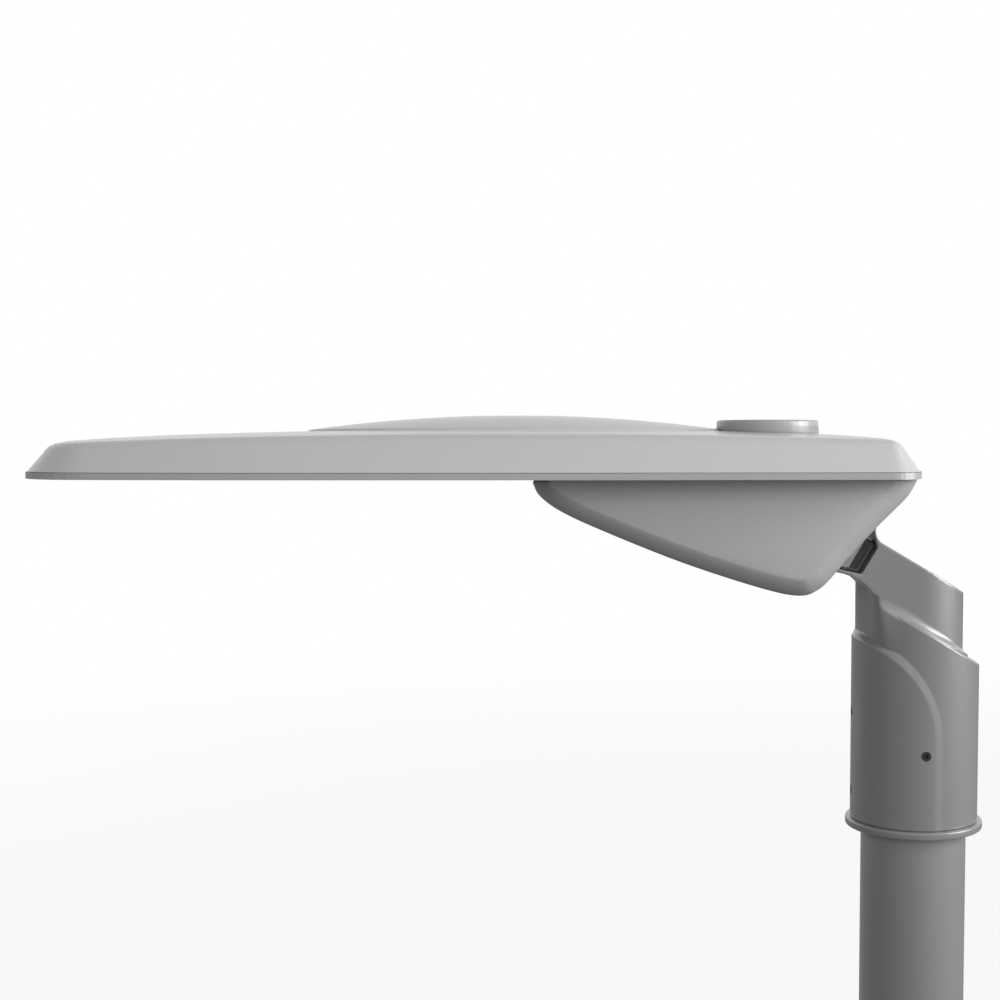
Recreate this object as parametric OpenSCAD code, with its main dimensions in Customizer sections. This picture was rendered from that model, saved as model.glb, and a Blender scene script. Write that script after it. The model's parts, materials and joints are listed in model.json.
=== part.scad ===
// Road luminaire with a post-top adaptor, standing on a short length of pole.
// Origin: centre of the pole's lower end. +Z is up and the lamp head points along -X.

/* [Pole and collar] */
// Outside diameter of the pole
pole_d = 76; // [60:1:80]
// Wall of the pole
pole_wall = 3; // [2:0.5:6]
// Bare length of pole below the collar
pole_bare = 200; // [120:5:400]
// Length of pole inside the sleeve
pole_grip = 116; // [80:1:118]
// Outside diameter of the collar ring
collar_d = 99; // [98:0.5:112]
// Height of the collar ring
collar_h = 5.5; // [4:0.5:10]

/* [Sleeve and arm] */
// Diameter of the sleeve casting
sleeve_d = 89.4; // [88:0.1:92]
// How far the sleeve's outside sits behind its bore
sleeve_shift = 1.3; // [0:0.1:2]
// Diameter of the raised front panel
panel_d = 92; // [91:0.1:96]
// Radius of the arc that ends the front panel
panel_arc_r = 77; // [70:1:90]
// Distance of the panel's straight edge behind the pole axis
panel_edge_x = 10; // [4:1:16]
// Height of the panel's straight edge
panel_edge_h = 63; // [50:1:75]
// Height of the sloping ledge above the collar's underside, on the pole axis
ledge_rise = 146.6; // [140:0.2:152]
// Downward slope of the arm and the ledge, in degrees
arm_slope = 30.6; // [28:0.2:33]
// Thickness of the flat-sided arm
arm_t = 72; // [68:1:80]
// Height of the arm's top line over its centre line
arm_top = 15.7; // [14:0.1:18]
// Size across the set screws
set_screw_d = 7; // [5:0.5:8]

/* [Tilt knuckle] */
// Distance of the tilt axis in front of the pole axis
tilt_reach = 57; // [55:0.5:60]
// Height of the tilt axis above the collar's underside
tilt_rise = 207; // [204:0.5:211]
// Diameter of the tilt bolts
tilt_bolt_d = 8; // [6:0.5:10]
// Thickness of each tongue of the arm
tongue_t = 10.5; // [9:0.5:12]
// Thickness of each ear of the tilt bracket
ear_t = 9.5; // [7:0.5:11]
// Number of locking serrations round each bolt
serrations = 24; // [12:2:36]

/* [Lamp head] */
// Length of the head, rim to rim
head_l = 623; // [590:1:660]
// Greatest width of the head
head_w = 250; // [240:1:270]
// Gap in plan between the pole axis and the head's rear rim
head_back = 4; // [2:0.5:8]
// Height of the rim's underside over the tilt axis
head_rise = 49.5; // [48:0.5:54]
// Height of the rim band
rim_h = 4.5; // [4:0.1:6]
// Width of the rim's downward lip
lip_t = 3; // [2:0.5:4]
// Height of the canopy's shoulder crest over the rim's underside
canopy_h = 30.4; // [30:0.1:36]
// Rise of the crown between the shoulders
crown_rise = 3.2; // [2:0.1:5]
// Fall of the shoulder crest towards the nose
crown_fall = 6.6; // [4:0.2:7]
// Wall of the canopy casting
canopy_wall = 3; // [2.5:0.25:3.5]
// Length of the raised spine on the crown
spine_l = 302; // [240:2:320]
// Width of the raised spine
spine_w = 122; // [90:2:140]
// Height of the raised spine
spine_h = 10; // [6:0.5:14]
// Radius of the front corners in plan
nose_r = 55; // [40:1:65]
// Radius of the rear corners in plan
tail_r = 22; // [16:1:30]

/* [Gear compartment] */
// Length of the gear cover
gear_l = 263.5; // [255:0.5:270]
// Width of the gear cover
gear_w = 160; // [156:1:172]
// Depth of the gear cover
gear_depth = 80.7; // [78:0.1:86]
// Wall of the gear cover
gear_wall = 3; // [2:0.25:3.5]
// Radius of the gear cover's rounded edges
gear_edge_r = 14; // [10:0.5:16]
// Width of the cover's rear slot round the knuckle
slot_w = 84; // [82:0.5:92]
// Diameter of the cover's hinge pins
hinge_pin_d = 3; // [2.5:0.1:3.4]

/* [Lamp parts] */
// Length of the glass
glass_l = 290; // [250:1:295]
// Gap between the glass's side and the head's widest edge
glass_side = 35; // [34.5:0.5:42]
// Thickness of the glass
glass_t = 4; // [3:0.5:4.5]
// Gap between the glass's end and the end of the circuit board
board_end = 14; // [13:0.5:30]
// Gap between the glass's side and the side of the circuit board
board_side = 11; // [9:0.5:20]
// Rows of light sources along the head
led_rows = 8; // [4:1:10]
// Rows of light sources across the head
led_cols = 4; // [2:1:6]

/* [Control socket] */
// Diameter of the socket's cap
cap_d = 74.4; // [70:0.2:80]
// Height of the cap
cap_h = 11.4; // [10:0.2:16]
// Distance of the cap's centre in front of the pole axis
cap_reach = 109; // [106:0.5:114]

/* [Hidden] */
$fn = 72;

// Clearances: seat between clamped pieces, fit round screws and in bores, slide beside moving pieces
seat = 0.1;
fit = 0.3;
slide = 0.5;
eps = 0.01;
casting_grey = [0.55, 0.56, 0.57];
canopy_grey = [0.7, 0.71, 0.73];
dark_grey = [0.3, 0.31, 0.32];
steel = [0.75, 0.76, 0.78];
rubber = [0.12, 0.12, 0.13];

// Main heights and places
collar_z = pole_bare;
sleeve_z = collar_z + collar_h;
bore_r = pole_d / 2 + fit;
tilt_x = -tilt_reach;
tilt_z = collar_z + tilt_rise;
rim_z = tilt_z + head_rise;
rim_top = rim_z + rim_h;
plate_z = rim_z + 1;
head_x1 = -head_back;
head_x0 = head_x1 - head_l;
glass_x = head_x0 + 32;
glass_w = head_w - 2 * glass_side;
board_l = glass_l - 2 * board_end;
board_w = glass_w - 2 * board_side;

// A point given along (s) and square to (n) the sloping arm, from the tilt axis
function arm_pt(s, n) = [tilt_x + s * cos(arm_slope) + n * sin(arm_slope),
    tilt_z - s * sin(arm_slope) + n * cos(arm_slope)];

// Extrudes a drawing of X and Z to a thickness that is centred on Y = y
module side_slab(t, y = 0) {
    translate([0, y + t / 2, 0]) rotate([90, 0, 0]) linear_extrude(t) children();
}

// The same slab on both sides of the middle plane
module both_sides(t, y) {
    side_slab(t, y) children();
    side_slab(t, -y) children();
}

// Pole and collar

module pole() {
    color(casting_grey) difference() {
        cylinder(d = pole_d, h = pole_bare + pole_grip);
        translate([0, 0, -1]) cylinder(d = pole_d - 2 * pole_wall, h = pole_bare + pole_grip + 2);
    }
}

collar_edge = 0.8;

module collar_ring() {
    color(casting_grey) translate([0, 0, collar_z]) rotate_extrude()
        polygon([[bore_r, 0], [collar_d / 2 - collar_edge, 0], [collar_d / 2, collar_edge],
            [collar_d / 2, collar_h - collar_edge], [collar_d / 2 - collar_edge, collar_h],
            [bore_r, collar_h]]);
}

// Sleeve and arm casting

ledge_z = collar_z + ledge_rise;
arm_half = arm_t / 2;
arm_rear_x = -2;
ledge_fillet = 9;
cove_step = 2.6;
cove_x = -24;
neck_r = 11.7;
jaw_s = 20;
under_r = 39;
lip_s = 3.2;
lip_n = 15.6;
ledge_n = 24.5;
channel_half = 13;
nut_r = 0.825 * tilt_bolt_d;
channel_n = nut_r + slide;
tongue_out = channel_half + tongue_t;
tongue_r = 14.5;
tooth_w = 0.8;
tooth_h = 0.6;
tooth_in = 8;
set_screw_l = 7.2;
front_screw_z = [20, 78];
side_screw_z = 54;

// Everything under the sloping ledge, raised by lift and kept inside radius r
module under_ledge(r, lift) {
    intersection() {
        translate([sleeve_shift, 0, sleeve_z]) cylinder(r = r, h = 250);
        side_slab(2 * r + 20) polygon([[-90, sleeve_z - 1], [90, sleeve_z - 1],
            [90, ledge_z + lift - 90 * tan(arm_slope)], [-90, ledge_z + lift + 90 * tan(arm_slope)]]);
    }
}

// Raised front panel: straight rear edge, then an arc that runs forward and up
module front_panel() {
    arc_z = collar_z + collar_h + panel_edge_h;
    intersection() {
        translate([0, 0, sleeve_z]) cylinder(d = panel_d, h = 200);
        side_slab(panel_d + 10) union() {
            translate([-panel_d, sleeve_z]) square([panel_d + panel_edge_x, panel_edge_h]);
            intersection() {
                translate([panel_edge_x - panel_arc_r, arc_z]) circle(r = panel_arc_r, $fn = 120);
                translate([-panel_d, arc_z - 1]) square([panel_d + panel_edge_x, panel_arc_r + 2]);
            }
        }
    }
}

// Side outline of the arm, with its upper and lower jaw round the pocket
module arm_outline() {
    difference() {
        polygon([arm_pt(10.8, 20.3), arm_pt(11.9, 23.3), arm_pt(24, 23.3), arm_pt(24, arm_top),
            arm_pt(125, arm_top), arm_pt(125, -ledge_n), arm_pt(lip_s, -ledge_n), arm_pt(lip_s, -15.8),
            arm_pt(9.2, -14.2), arm_pt(jaw_s, -10.5), arm_pt(jaw_s, 11.2)]);
        translate(arm_pt(22.9, arm_top + neck_r)) circle(r = neck_r);
        intersection() {
            translate(arm_pt(jaw_s - 1, -under_r - lip_n)) circle(r = under_r, $fn = 96);
            polygon([arm_pt(-20, -5), arm_pt(35.5, -5), arm_pt(35.5, -60), arm_pt(-20, -60)]);
        }
    }
}

// Outline of the two tongues that hold the tilt bolts
module tongue_outline() {
    translate([tilt_x, tilt_z]) circle(r = tongue_r);
    polygon([arm_pt(0, -tongue_r), arm_pt(jaw_s + 6, -11), arm_pt(jaw_s + 6, 13), arm_pt(4, tongue_r - 1)]);
}

module arm_plan() {
    translate([arm_rear_x, 0]) circle(r = arm_half);
    translate([-120, -arm_half]) square([120 + arm_rear_x, arm_t]);
}

module cable_channel() {
    side_slab(2 * channel_half) polygon([[-13, collar_z + pole_grip], [14, collar_z + pole_grip],
        [14, ledge_z + 12], arm_pt(62, channel_n), arm_pt(-22, channel_n), arm_pt(-22, -channel_n - 1),
        arm_pt(36, -channel_n - 1), [-13, ledge_z + 12]]);
}

// Radial locking grooves round the tilt axis, from tooth_in out to r, cut into the faces at +y and -y
module serration_cuts(y, r) {
    for (i = [0 : serrations - 1], s = [-1, 1])
        translate([tilt_x, s * y, tilt_z]) rotate([0, i * 360 / serrations, 0])
            translate([tooth_in, -tooth_h, -tooth_w / 2]) cube([r - tooth_in, 2 * tooth_h, tooth_w]);
}

// Puts its child at each set screw's place, with +Z pointing out of the sleeve
module at_set_screws() {
    for (z = front_screw_z)
        translate([0, 0, sleeve_z + z]) rotate([0, -90, 0]) children();
    for (s = [-1, 1])
        translate([0, 0, sleeve_z + side_screw_z]) rotate([-s * 90, 0, 0]) children();
}

module adaptor() {
    color(casting_grey) difference() {
        union() {
            under_ledge(sleeve_d / 2, 0);
            front_panel();
            intersection() {
                union() {
                    side_slab(arm_t) arm_outline();
                    side_slab(2 * tongue_out) tongue_outline();
                }
                translate([0, 0, sleeve_z]) linear_extrude(400) arm_plan();
            }
            intersection() {
                under_ledge(arm_half + cove_step, ledge_fillet / 2);
                translate([cove_x, -arm_t, sleeve_z]) cube([100, 2 * arm_t, 300]);
            }
        }
        translate([0, 0, sleeve_z - 1]) cylinder(r = bore_r, h = pole_grip - collar_h + 2);
        cable_channel();
        translate([tilt_x, 0, tilt_z]) rotate([90, 0, 0])
            cylinder(d = tilt_bolt_d + 2 * fit, h = 2 * arm_t, center = true);
        serration_cuts(tongue_out, tongue_r + 1);
        at_set_screws() cylinder(d = set_screw_d, h = panel_d);
    }
}

// Socket-head set screws, which press on the pole
module set_screws() {
    color(steel) at_set_screws() translate([0, 0, bore_r]) difference() {
        cylinder(d = set_screw_d - fit, h = set_screw_l);
        translate([0, 0, set_screw_l - 2.5]) cylinder(d = set_screw_d / 2, h = 3, $fn = 6);
    }
}

// Tilt knuckle

ear_y = tongue_out + slide + ear_t / 2;
ear_out = tongue_out + slide + ear_t;
bolt_head = 4.5;
nut_h = 5;
washer_t = 1.6;
bolt_start = channel_half - seat - nut_h - 1.5;
bolt_under_head = ear_out + washer_t + 2 * seat;
bracket_half = 34;
flange_z = plate_z - 4;
bracket_screw_x = [-72, -32];
bracket_screw_y = 13;
bracket_screw_d = 6;
bracket_screw_l = 11;
apron_t = 3;
flange_x = tilt_x - 27;
hood_r = 28.5;
hood_t = 2.5;
hood_turn = [40, 85, 130];

module tilt_bolts() {
    color(steel) for (s = [0, 1])
        mirror([0, s, 0]) translate([tilt_x, bolt_under_head, tilt_z]) rotate([-90, 0, 0]) {
            translate([0, 0, bolt_start - bolt_under_head])
                cylinder(d = tilt_bolt_d, h = bolt_under_head - bolt_start + eps);
            cylinder(d = 1.6 * tilt_bolt_d, h = bolt_head, $fn = 6);
        }
}

module tilt_washers() {
    color(steel) for (s = [0, 1])
        mirror([0, s, 0]) translate([tilt_x, ear_out + seat, tilt_z]) rotate([-90, 0, 0]) difference() {
            cylinder(d = 2 * tilt_bolt_d, h = washer_t);
            translate([0, 0, -1]) cylinder(d = tilt_bolt_d + fit, h = washer_t + 2);
        }
}

module tilt_nuts() {
    color(steel) for (s = [0, 1])
        mirror([0, s, 0]) translate([tilt_x, channel_half - seat - nut_h, tilt_z]) rotate([-90, 0, 0])
            difference() {
                cylinder(r = nut_r, h = nut_h, $fn = 6);
                translate([0, 0, -1]) cylinder(d = tilt_bolt_d + fit, h = nut_h + 2);
            }
}

module ear_outline() {
    polygon([arm_pt(9.9, -11), arm_pt(9.9, 17.5), arm_pt(5.5, 23), arm_pt(4, 28), [-33, rim_z - 14],
        [-30, plate_z - 1], [-80, plate_z - 1], [-78, tilt_z + 22], arm_pt(-14, 3), arm_pt(-8, -12),
        arm_pt(3, -14.5)]);
}

// Curved rear wall that fills the top of the cover's slot
module apron_outline() {
    n = len(gear_profile);
    outer = [for (i = [apron_first : n - 1]) gear_edge(i, 0)];
    inner = [for (i = [n - 1 : -1 : apron_first]) gear_edge(i, apron_t)];
    polygon(concat(outer, inner));
}

// Part-round hood over the knuckle, which keeps rain out of the gear compartment
module hood_outline() {
    translate([tilt_x, tilt_z]) difference() {
        intersection() {
            circle(r = hood_r + hood_t);
            polygon(concat([[0, 0]], [for (a = hood_turn) 2 * hood_r * [cos(a), sin(a)]]));
        }
        circle(r = hood_r);
    }
}

module tilt_bracket() {
    color(casting_grey) difference() {
        union() {
            translate([flange_x, -bracket_half, flange_z])
                cube([cover_x0 + gear_l - 1 - flange_x, 2 * bracket_half, plate_z - flange_z]);
            side_slab(2 * ear_out) hood_outline();
            both_sides(ear_t, ear_y) ear_outline();
            side_slab(slot_w - 2 * slide) apron_outline();
        }
        translate([tilt_x, 0, tilt_z]) rotate([90, 0, 0])
            cylinder(d = tilt_bolt_d + 2 * fit, h = 2 * arm_t, center = true);
        serration_cuts(tongue_out + slide, tongue_r - 2);
        for (x = bracket_screw_x, s = [-1, 1])
            translate([x, s * bracket_screw_y, flange_z - 1])
                cylinder(d = bracket_screw_d + fit, h = 8);
    }
}

// A pan-head screw standing on its head, which lies under z = 0
module screw(d, l, head_d, head_h) {
    cylinder(d = d, h = l);
    translate([0, 0, -head_h]) difference() {
        cylinder(d = head_d, h = head_h + eps);
        translate([0, 0, -eps]) cylinder(d = d * 0.8, h = head_h * 0.6, $fn = 6);
    }
}

module bracket_screws() {
    color(steel) for (x = bracket_screw_x, s = [-1, 1])
        translate([x, s * bracket_screw_y, flange_z - seat]) screw(bracket_screw_d, bracket_screw_l, 10, 4);
}

// Outline of the head in plan

widest_x = head_x0 + 199;
nose_bow = 500;
tail_bow = 392;
nose_narrow = 13.5;
tail_narrow = 19.8;
front_steps = 4;
corner_steps = 9;
side_steps = 14;

// Half width of the head at x, drawn in by d
function edge_y(x, d) = head_w / 2 - d - (x < widest_x
    ? nose_narrow * pow((widest_x - x) / (widest_x - head_x0), 2)
    : tail_narrow * pow((x - widest_x) / (head_x1 - widest_x), 2));

function bezier(p, t) = pow(1 - t, 3) * p[0] + 3 * t * pow(1 - t, 2) * p[1]
    + 3 * t * t * (1 - t) * p[2] + pow(t, 3) * p[3];

// Control points of a corner: from the end edge round to the side. way is 1 at the nose, -1 at the tail
function corner(d, way) =
    let (r = max((way > 0 ? nose_r : tail_r) - d, 4), end_x = way > 0 ? head_x0 + d : head_x1 - d,
        bow = way > 0 ? nose_bow : tail_bow, k = 0.55,
        y0 = edge_y(end_x + way * r, d) - r, x0 = end_x + way * y0 * y0 / (2 * bow), x1 = x0 + way * r,
        fall = edge_y(x1 + 1, d) - edge_y(x1, d))
    [[x0, y0], [x0 + way * k * r * y0 / bow, y0 + k * r],
        [x1 - way * k * r, edge_y(x1, d) - way * k * r * fall], [x1, edge_y(x1, d)]];

// Half of the head's outline drawn in by d, from the middle of the nose to the middle of the tail
function half_outline(d) =
    let (a = corner(d, 1), b = corner(d, -1))
    concat([for (i = [0 : front_steps - 1]) let (y = a[0][1] * i / front_steps)
            [head_x0 + d + y * y / (2 * nose_bow), y]],
        [for (i = [0 : corner_steps]) bezier(a, i / corner_steps)],
        [for (i = [1 : side_steps - 1]) let (x = a[3][0] + (b[3][0] - a[3][0]) * i / side_steps)
            [x, edge_y(x, d)]],
        [for (i = [corner_steps : -1 : 0]) bezier(b, i / corner_steps)],
        [for (i = [front_steps - 1 : -1 : 0]) let (y = b[0][1] * i / front_steps)
            [head_x1 - d - y * y / (2 * tail_bow), y]]);

function both_halves(h) = concat(h, [for (i = [len(h) - 2 : -1 : 1]) [h[i][0], -h[i][1]]]);
function outline(d) = both_halves(half_outline(d));

// Canopy

crest_x = head_x1 - 281;
crest_half = 315;
skirt_in = 1.2;
side_top_in = 12;
side_slope = 60.6;
shoulder_r = 12;
shoulder_d = side_top_in + shoulder_r * sin(side_slope);
shoulder_drop = 6.1 + shoulder_r * cos(side_slope);
crown_d = 21.4;
spine_x = head_x1 - 288;
spine_lip = 1;
canopy_z = rim_top + fit;
boss_r = 5;
post_sunk = 0.2;
canopy_screw_d = 4;
canopy_screw_l = 12;
screw_seat = 2;
canopy_screw_x = [glass_x + 0.12 * glass_l, glass_x + 0.65 * glass_l, head_x1 - 226, head_x1 - 66];
canopy_screw_in = 20;

function clamp01(v) = max(0, min(1, v));

// Height of the shoulder crest at x
function crest(x) = rim_z + canopy_h - crown_fall * pow((x - crest_x) / crest_half, 2);

// Height of the crown at x and y
function crown(x, y) =
    let (edge = min(edge_y(x, 0) - abs(y), x - head_x0, head_x1 - x))
    crest(x) + crown_rise * (1 - pow(1 - clamp01((edge - crown_d) / 85), 2));

function spine_outline(r) =
    let (n = len(half_outline(0)))
    both_halves([for (i = [0 : n - 1]) let (a = 180 * i / (n - 1))
        [spine_x - r * spine_l / 2 * cos(a), r * spine_w / 2 * sin(a)]]);

function mix(a, b, t) = [for (i = [0 : len(a) - 1]) a[i] + (b[i] - a[i]) * t];
function on_crown(p, lift) = [for (q = p) [q[0], q[1], crown(q[0], q[1]) + lift]];
function at_z(p, z) = [for (q = p) [q[0], q[1], z]];

// One ring of the shoulder, at angle a from level and with its surface wall inside
function shoulder_ring(a, wall) =
    [for (q = outline(shoulder_d - (shoulder_r - wall) * sin(a)))
        [q[0], q[1], crest(q[0]) - shoulder_drop + (shoulder_r - wall) * cos(a)]];

function spine_ring(r, wall) =
    on_crown(spine_outline(r), (r < 1 ? spine_lip + (spine_h - spine_lip) * (1 - r * r) : 0) - wall);

// Rings of the canopy's skin from its skirt to its middle, with the surface wall inside
function canopy_rings(wall) = concat(
    [at_z(outline(skirt_in + 1.15 * wall), canopy_z)],
    [for (a = [side_slope, 42, 23, 5]) shoulder_ring(a, wall)],
    [for (d = [38, 58]) on_crown(outline(d), -wall)],
    [for (t = [0.4, 0.75]) on_crown(mix(outline(58), spine_outline(1), t), -wall)],
    [for (r = [1, 0.98, 0.85, 0.66, 0.44, 0.2]) spine_ring(r, wall)]);

function joined(rings) = [for (r = rings) for (p = r) p];

// Triangles between ring a and ring b of n points each
function band(a, b, n) = [for (i = [0 : n - 1]) let (j = (i + 1) % n)
    each [[a * n + i, a * n + j, b * n + j], [a * n + i, b * n + j, b * n + i]]];

// Triangles across ring a, whose points mirror each other over the middle plane
function lid(a, n) = [for (i = [0 : n / 2 - 1]) let (j = i + 1, k = (n - i) % n, l = n - i - 1)
    each concat(i > 0 ? [[a * n + i, a * n + j, a * n + k]] : [],
        j < n / 2 ? [[a * n + j, a * n + l, a * n + k]] : [])];

function turned(f) = [for (t = f) [t[2], t[1], t[0]]];

module canopy_shell() {
    outer = canopy_rings(0);
    inner = canopy_rings(canopy_wall);
    n = len(outer[0]);
    k = len(outer);
    up = concat([for (i = [0 : k - 2]) each band(i, i + 1, n)], lid(k - 1, n));
    down = concat([for (i = [0 : k - 2]) each band(k + i, k + i + 1, n)], lid(2 * k - 1, n));
    polyhedron(joined(concat(outer, inner)), concat(up, turned(down), turned(band(0, k, n))));
}

// Places of the screws that hold the canopy down, on both sides
canopy_screw_at = [for (x = canopy_screw_x, s = [-1, 1]) [x, s * edge_y(x, canopy_screw_in)]];

module canopy_posts() {
    for (p = canopy_screw_at)
        translate([p[0], p[1], canopy_z])
            cylinder(r = boss_r, h = crest(p[0]) - canopy_wall - post_sunk - canopy_z);
    for (p = spreader_screw_at)
        translate([p[0], p[1], spreader_top + fit])
            cylinder(r = boss_r, h = crown(p[0], p[1]) - canopy_wall / 2 - spreader_top - fit);
}

module canopy() {
    color(canopy_grey) difference() {
        union() {
            canopy_shell();
            canopy_posts();
            translate([cap_x, 0, seat_z - seat_t]) cylinder(r = cap_d / 2 + 3.5, h = seat_t - 0.6);
        }
        translate([cap_x, 0, seat_z]) cylinder(r = cap_d / 2 + cap_gap, h = 30);
        translate([cap_x, 0, seat_z - 20]) cylinder(r = socket_hole_r, h = 30);
        for (p = canopy_screw_at)
            translate([p[0], p[1], canopy_z - 1]) cylinder(d = canopy_screw_d + fit, h = 11);
        for (p = spreader_screw_at)
            translate([p[0], p[1], spreader_top - 1]) cylinder(d = small_screw_d + fit, h = 5.2);
    }
}

// Control socket and its cap

cap_x = -cap_reach;
seat_z = crest(cap_x) + seat;
seat_t = 4;
cap_gap = 0.7;
cap_edge = 1.6;
cap_wall = 2.2;
socket_hole_r = 27;
socket_r = 26.5;
flange_r = 32;
socket_gasket_t = 1;

blade_r = 12.4;
blade_t = 1.6;
blade_span = 26;
blade_slot_span = 62;

// A bar bent round the Z axis from radius r0 to r1, which spans angle a from +X
module arc_bar(r0, r1, a, h) {
    linear_extrude(h) intersection() {
        difference() {
            circle(r = r1);
            circle(r = r0);
        }
        polygon([[0, 0], [2 * r1, 0], 2 * r1 * [cos(a / 2), sin(a / 2)], 2 * r1 * [cos(a), sin(a)]]);
    }
}

module socket_gasket() {
    color(rubber) translate([cap_x, 0, seat_z]) difference() {
        cylinder(r = flange_r, h = socket_gasket_t);
        translate([0, 0, -1]) cylinder(r = socket_hole_r + 0.5, h = 3);
    }
}

module socket_base() {
    color(dark_grey) translate([cap_x, 0, seat_z]) difference() {
        union() {
            translate([0, 0, socket_gasket_t]) cylinder(r = flange_r, h = 2.5);
            translate([0, 0, -16]) cylinder(r = socket_r, h = 18);
            translate([0, 0, -22]) cylinder(r = 14, h = 8);
        }
        for (a = [0 : 120 : 240])
            rotate([0, 0, a]) translate([0, 0, 0.5])
                arc_bar(blade_r - slide, blade_r + blade_t + slide, blade_slot_span, 5);
    }
}

module control_cap() {
    top = cap_h - cap_edge;
    color(casting_grey) translate([cap_x, 0, seat_z + fit]) {
        rotate_extrude() union() {
            difference() {
                union() {
                    square([cap_d / 2 - cap_edge, cap_h]);
                    polygon([[0, 0], [cap_d / 2, 0], [cap_d / 2 - 0.3, top], [0, top]]);
                    translate([cap_d / 2 - cap_edge - 0.3, top]) circle(r = cap_edge);
                }
                translate([0, -1]) square([cap_d / 2 - cap_wall, cap_h - cap_wall + 1]);
                translate([-9, -1]) square([9, cap_h + 3]);
            }
        }
        for (a = [0 : 120 : 240])
            rotate([0, 0, a + 3]) translate([0, 0, 1])
                arc_bar(blade_r, blade_r + blade_t, blade_span, cap_h - cap_wall - 0.5);
    }
}

// Base frame with the window for the glass

glass_corner = 20;
window_lip = 7;
glass_z = rim_top + 1.4;
gasket_groove_in = 1.8;
gasket_w = 2;
gasket_deep = 1.6;
tray_z = plate_z - 5.5;
tray_x = [-240, -94];
tray_half = 55;
rear_boss_x = -126;
tray_boss_at = [for (x = [tray_x[0] + 8, rear_boss_x], s = [-1, 1]) [x, s * (tray_half - 6)]];
small_screw_d = 3;
lug_y = 40;
lug_w = 12;
barrel_l = 34;
lead_hole = [-252, 0];
cover_screw_y = 62;
pad_x = -86;
pad_size = [66, 60, 6];

module plan_rect(x, l, w, r) {
    translate([x, -w / 2]) offset(r = r) offset(delta = -r) square([l, w]);
}

module base_frame() {
    color(casting_grey) difference() {
        union() {
            translate([0, 0, plate_z]) linear_extrude(rim_top - plate_z) polygon(outline(0));
            translate([0, 0, rim_z]) linear_extrude(2) difference() {
                polygon(outline(0));
                polygon(outline(lip_t));
            }
            translate([0, 0, rim_top - eps]) linear_extrude(3.5) difference() {
                plan_rect(glass_x - 3, glass_l + 6, glass_w + 6, glass_corner + 3);
                plan_rect(glass_x - slide, glass_l + 2 * slide, glass_w + 2 * slide, glass_corner + slide);
            }
            translate([pad_x, -pad_size[1] / 2, rim_top - eps]) cube(pad_size);
            for (p = tray_boss_at)
                translate([p[0], p[1], tray_z + tray_t]) cylinder(r = 4.5, h = plate_z - tray_z - tray_t + 1);
            for (s = [-1, 1]) {
                translate([cover_screw_x, s * cover_screw_y, pillar_z])
                    cylinder(r = pillar_r, h = plate_z - pillar_z + 1);
                translate([hinge_x, s * lug_y - lug_w / 2, hinge_z]) rotate([-90, 0, 0])
                    cylinder(r = nose_arc, h = lug_w);
                translate([hinge_x + 1 - nose_arc, s * lug_y - lug_w / 2, hinge_z])
                    cube([2 * nose_arc - 1, lug_w, plate_z - hinge_z + 1]);
            }
            for (p = canopy_screw_at)
                translate([p[0], p[1], rim_z + 0.3]) cylinder(r = 6.5, h = 2);
        }
        translate([0, 0, plate_z - 5])
            linear_extrude(30) plan_rect(glass_x + window_lip, glass_l - 2 * window_lip,
                glass_w - 2 * window_lip, glass_corner - window_lip + 2);
        translate([0, 0, rim_top - gasket_deep]) linear_extrude(5) difference() {
            polygon(outline(gasket_groove_in));
            polygon(outline(gasket_groove_in + gasket_w));
        }
        translate([lead_hole[0], lead_hole[1], plate_z - 5]) cylinder(r = 8, h = 20);
        for (p = canopy_screw_at) {
            translate([p[0], p[1], rim_z - 1]) cylinder(d = canopy_screw_d + 2 * fit, h = 10);
            translate([p[0], p[1], rim_z - 1]) cylinder(d = 2 * canopy_screw_d + 2 * fit, h = screw_seat + 1);
        }
        for (x = bracket_screw_x, s = [-1, 1])
            translate([x, s * bracket_screw_y, plate_z - 2]) cylinder(d = bracket_screw_d + fit, h = 12);
        for (p = tray_boss_at)
            translate([p[0], p[1], tray_z - 1]) cylinder(d = small_screw_d + fit, h = 8.5);
        for (s = [-1, 1]) {
            translate([cover_screw_x, s * cover_screw_y, pillar_z - 1]) cylinder(r = pillar_mouth_r, h = 5);
            translate([cover_screw_x, s * cover_screw_y, pillar_z - 1])
                cylinder(d = cover_screw_d - 2 * fit, h = 24);
            translate([hinge_x, s * lug_y - lug_w, hinge_z]) rotate([-90, 0, 0])
                cylinder(d = hinge_pin_d + fit, h = 2 * lug_w);
        }
        for (p = clip_at)
            translate([p[0], p[1], plate_z - 1]) cylinder(d = small_screw_d + fit, h = 8);
    }
}

module canopy_gasket() {
    color(rubber) translate([0, 0, rim_top - gasket_deep]) linear_extrude(gasket_deep + fit / 2)
        difference() {
            polygon(outline(gasket_groove_in + fit / 2));
            polygon(outline(gasket_groove_in + gasket_w - fit / 2));
        }
}

module canopy_screws() {
    color(steel) for (p = canopy_screw_at)
        translate([p[0], p[1], rim_z + screw_seat - seat]) screw(canopy_screw_d, canopy_screw_l, 7.6, 1.6);
}

// Glass and its clips

clip_l = 12;
clip_w = 7;
clip_t = 1;
clip_reach = 6;
glass_screw_l = 10;
clip_z = glass_z + glass_t + seat;
clip_at = [for (x = [0.2, 0.5, 0.8], s = [-1, 1]) [glass_x + x * glass_l, s * (glass_w / 2 + clip_w)]];

module glass() {
    color([0.8, 0.85, 0.88, 0.5]) translate([0, 0, glass_z]) linear_extrude(glass_t)
        plan_rect(glass_x, glass_l, glass_w, glass_corner);
}

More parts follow.
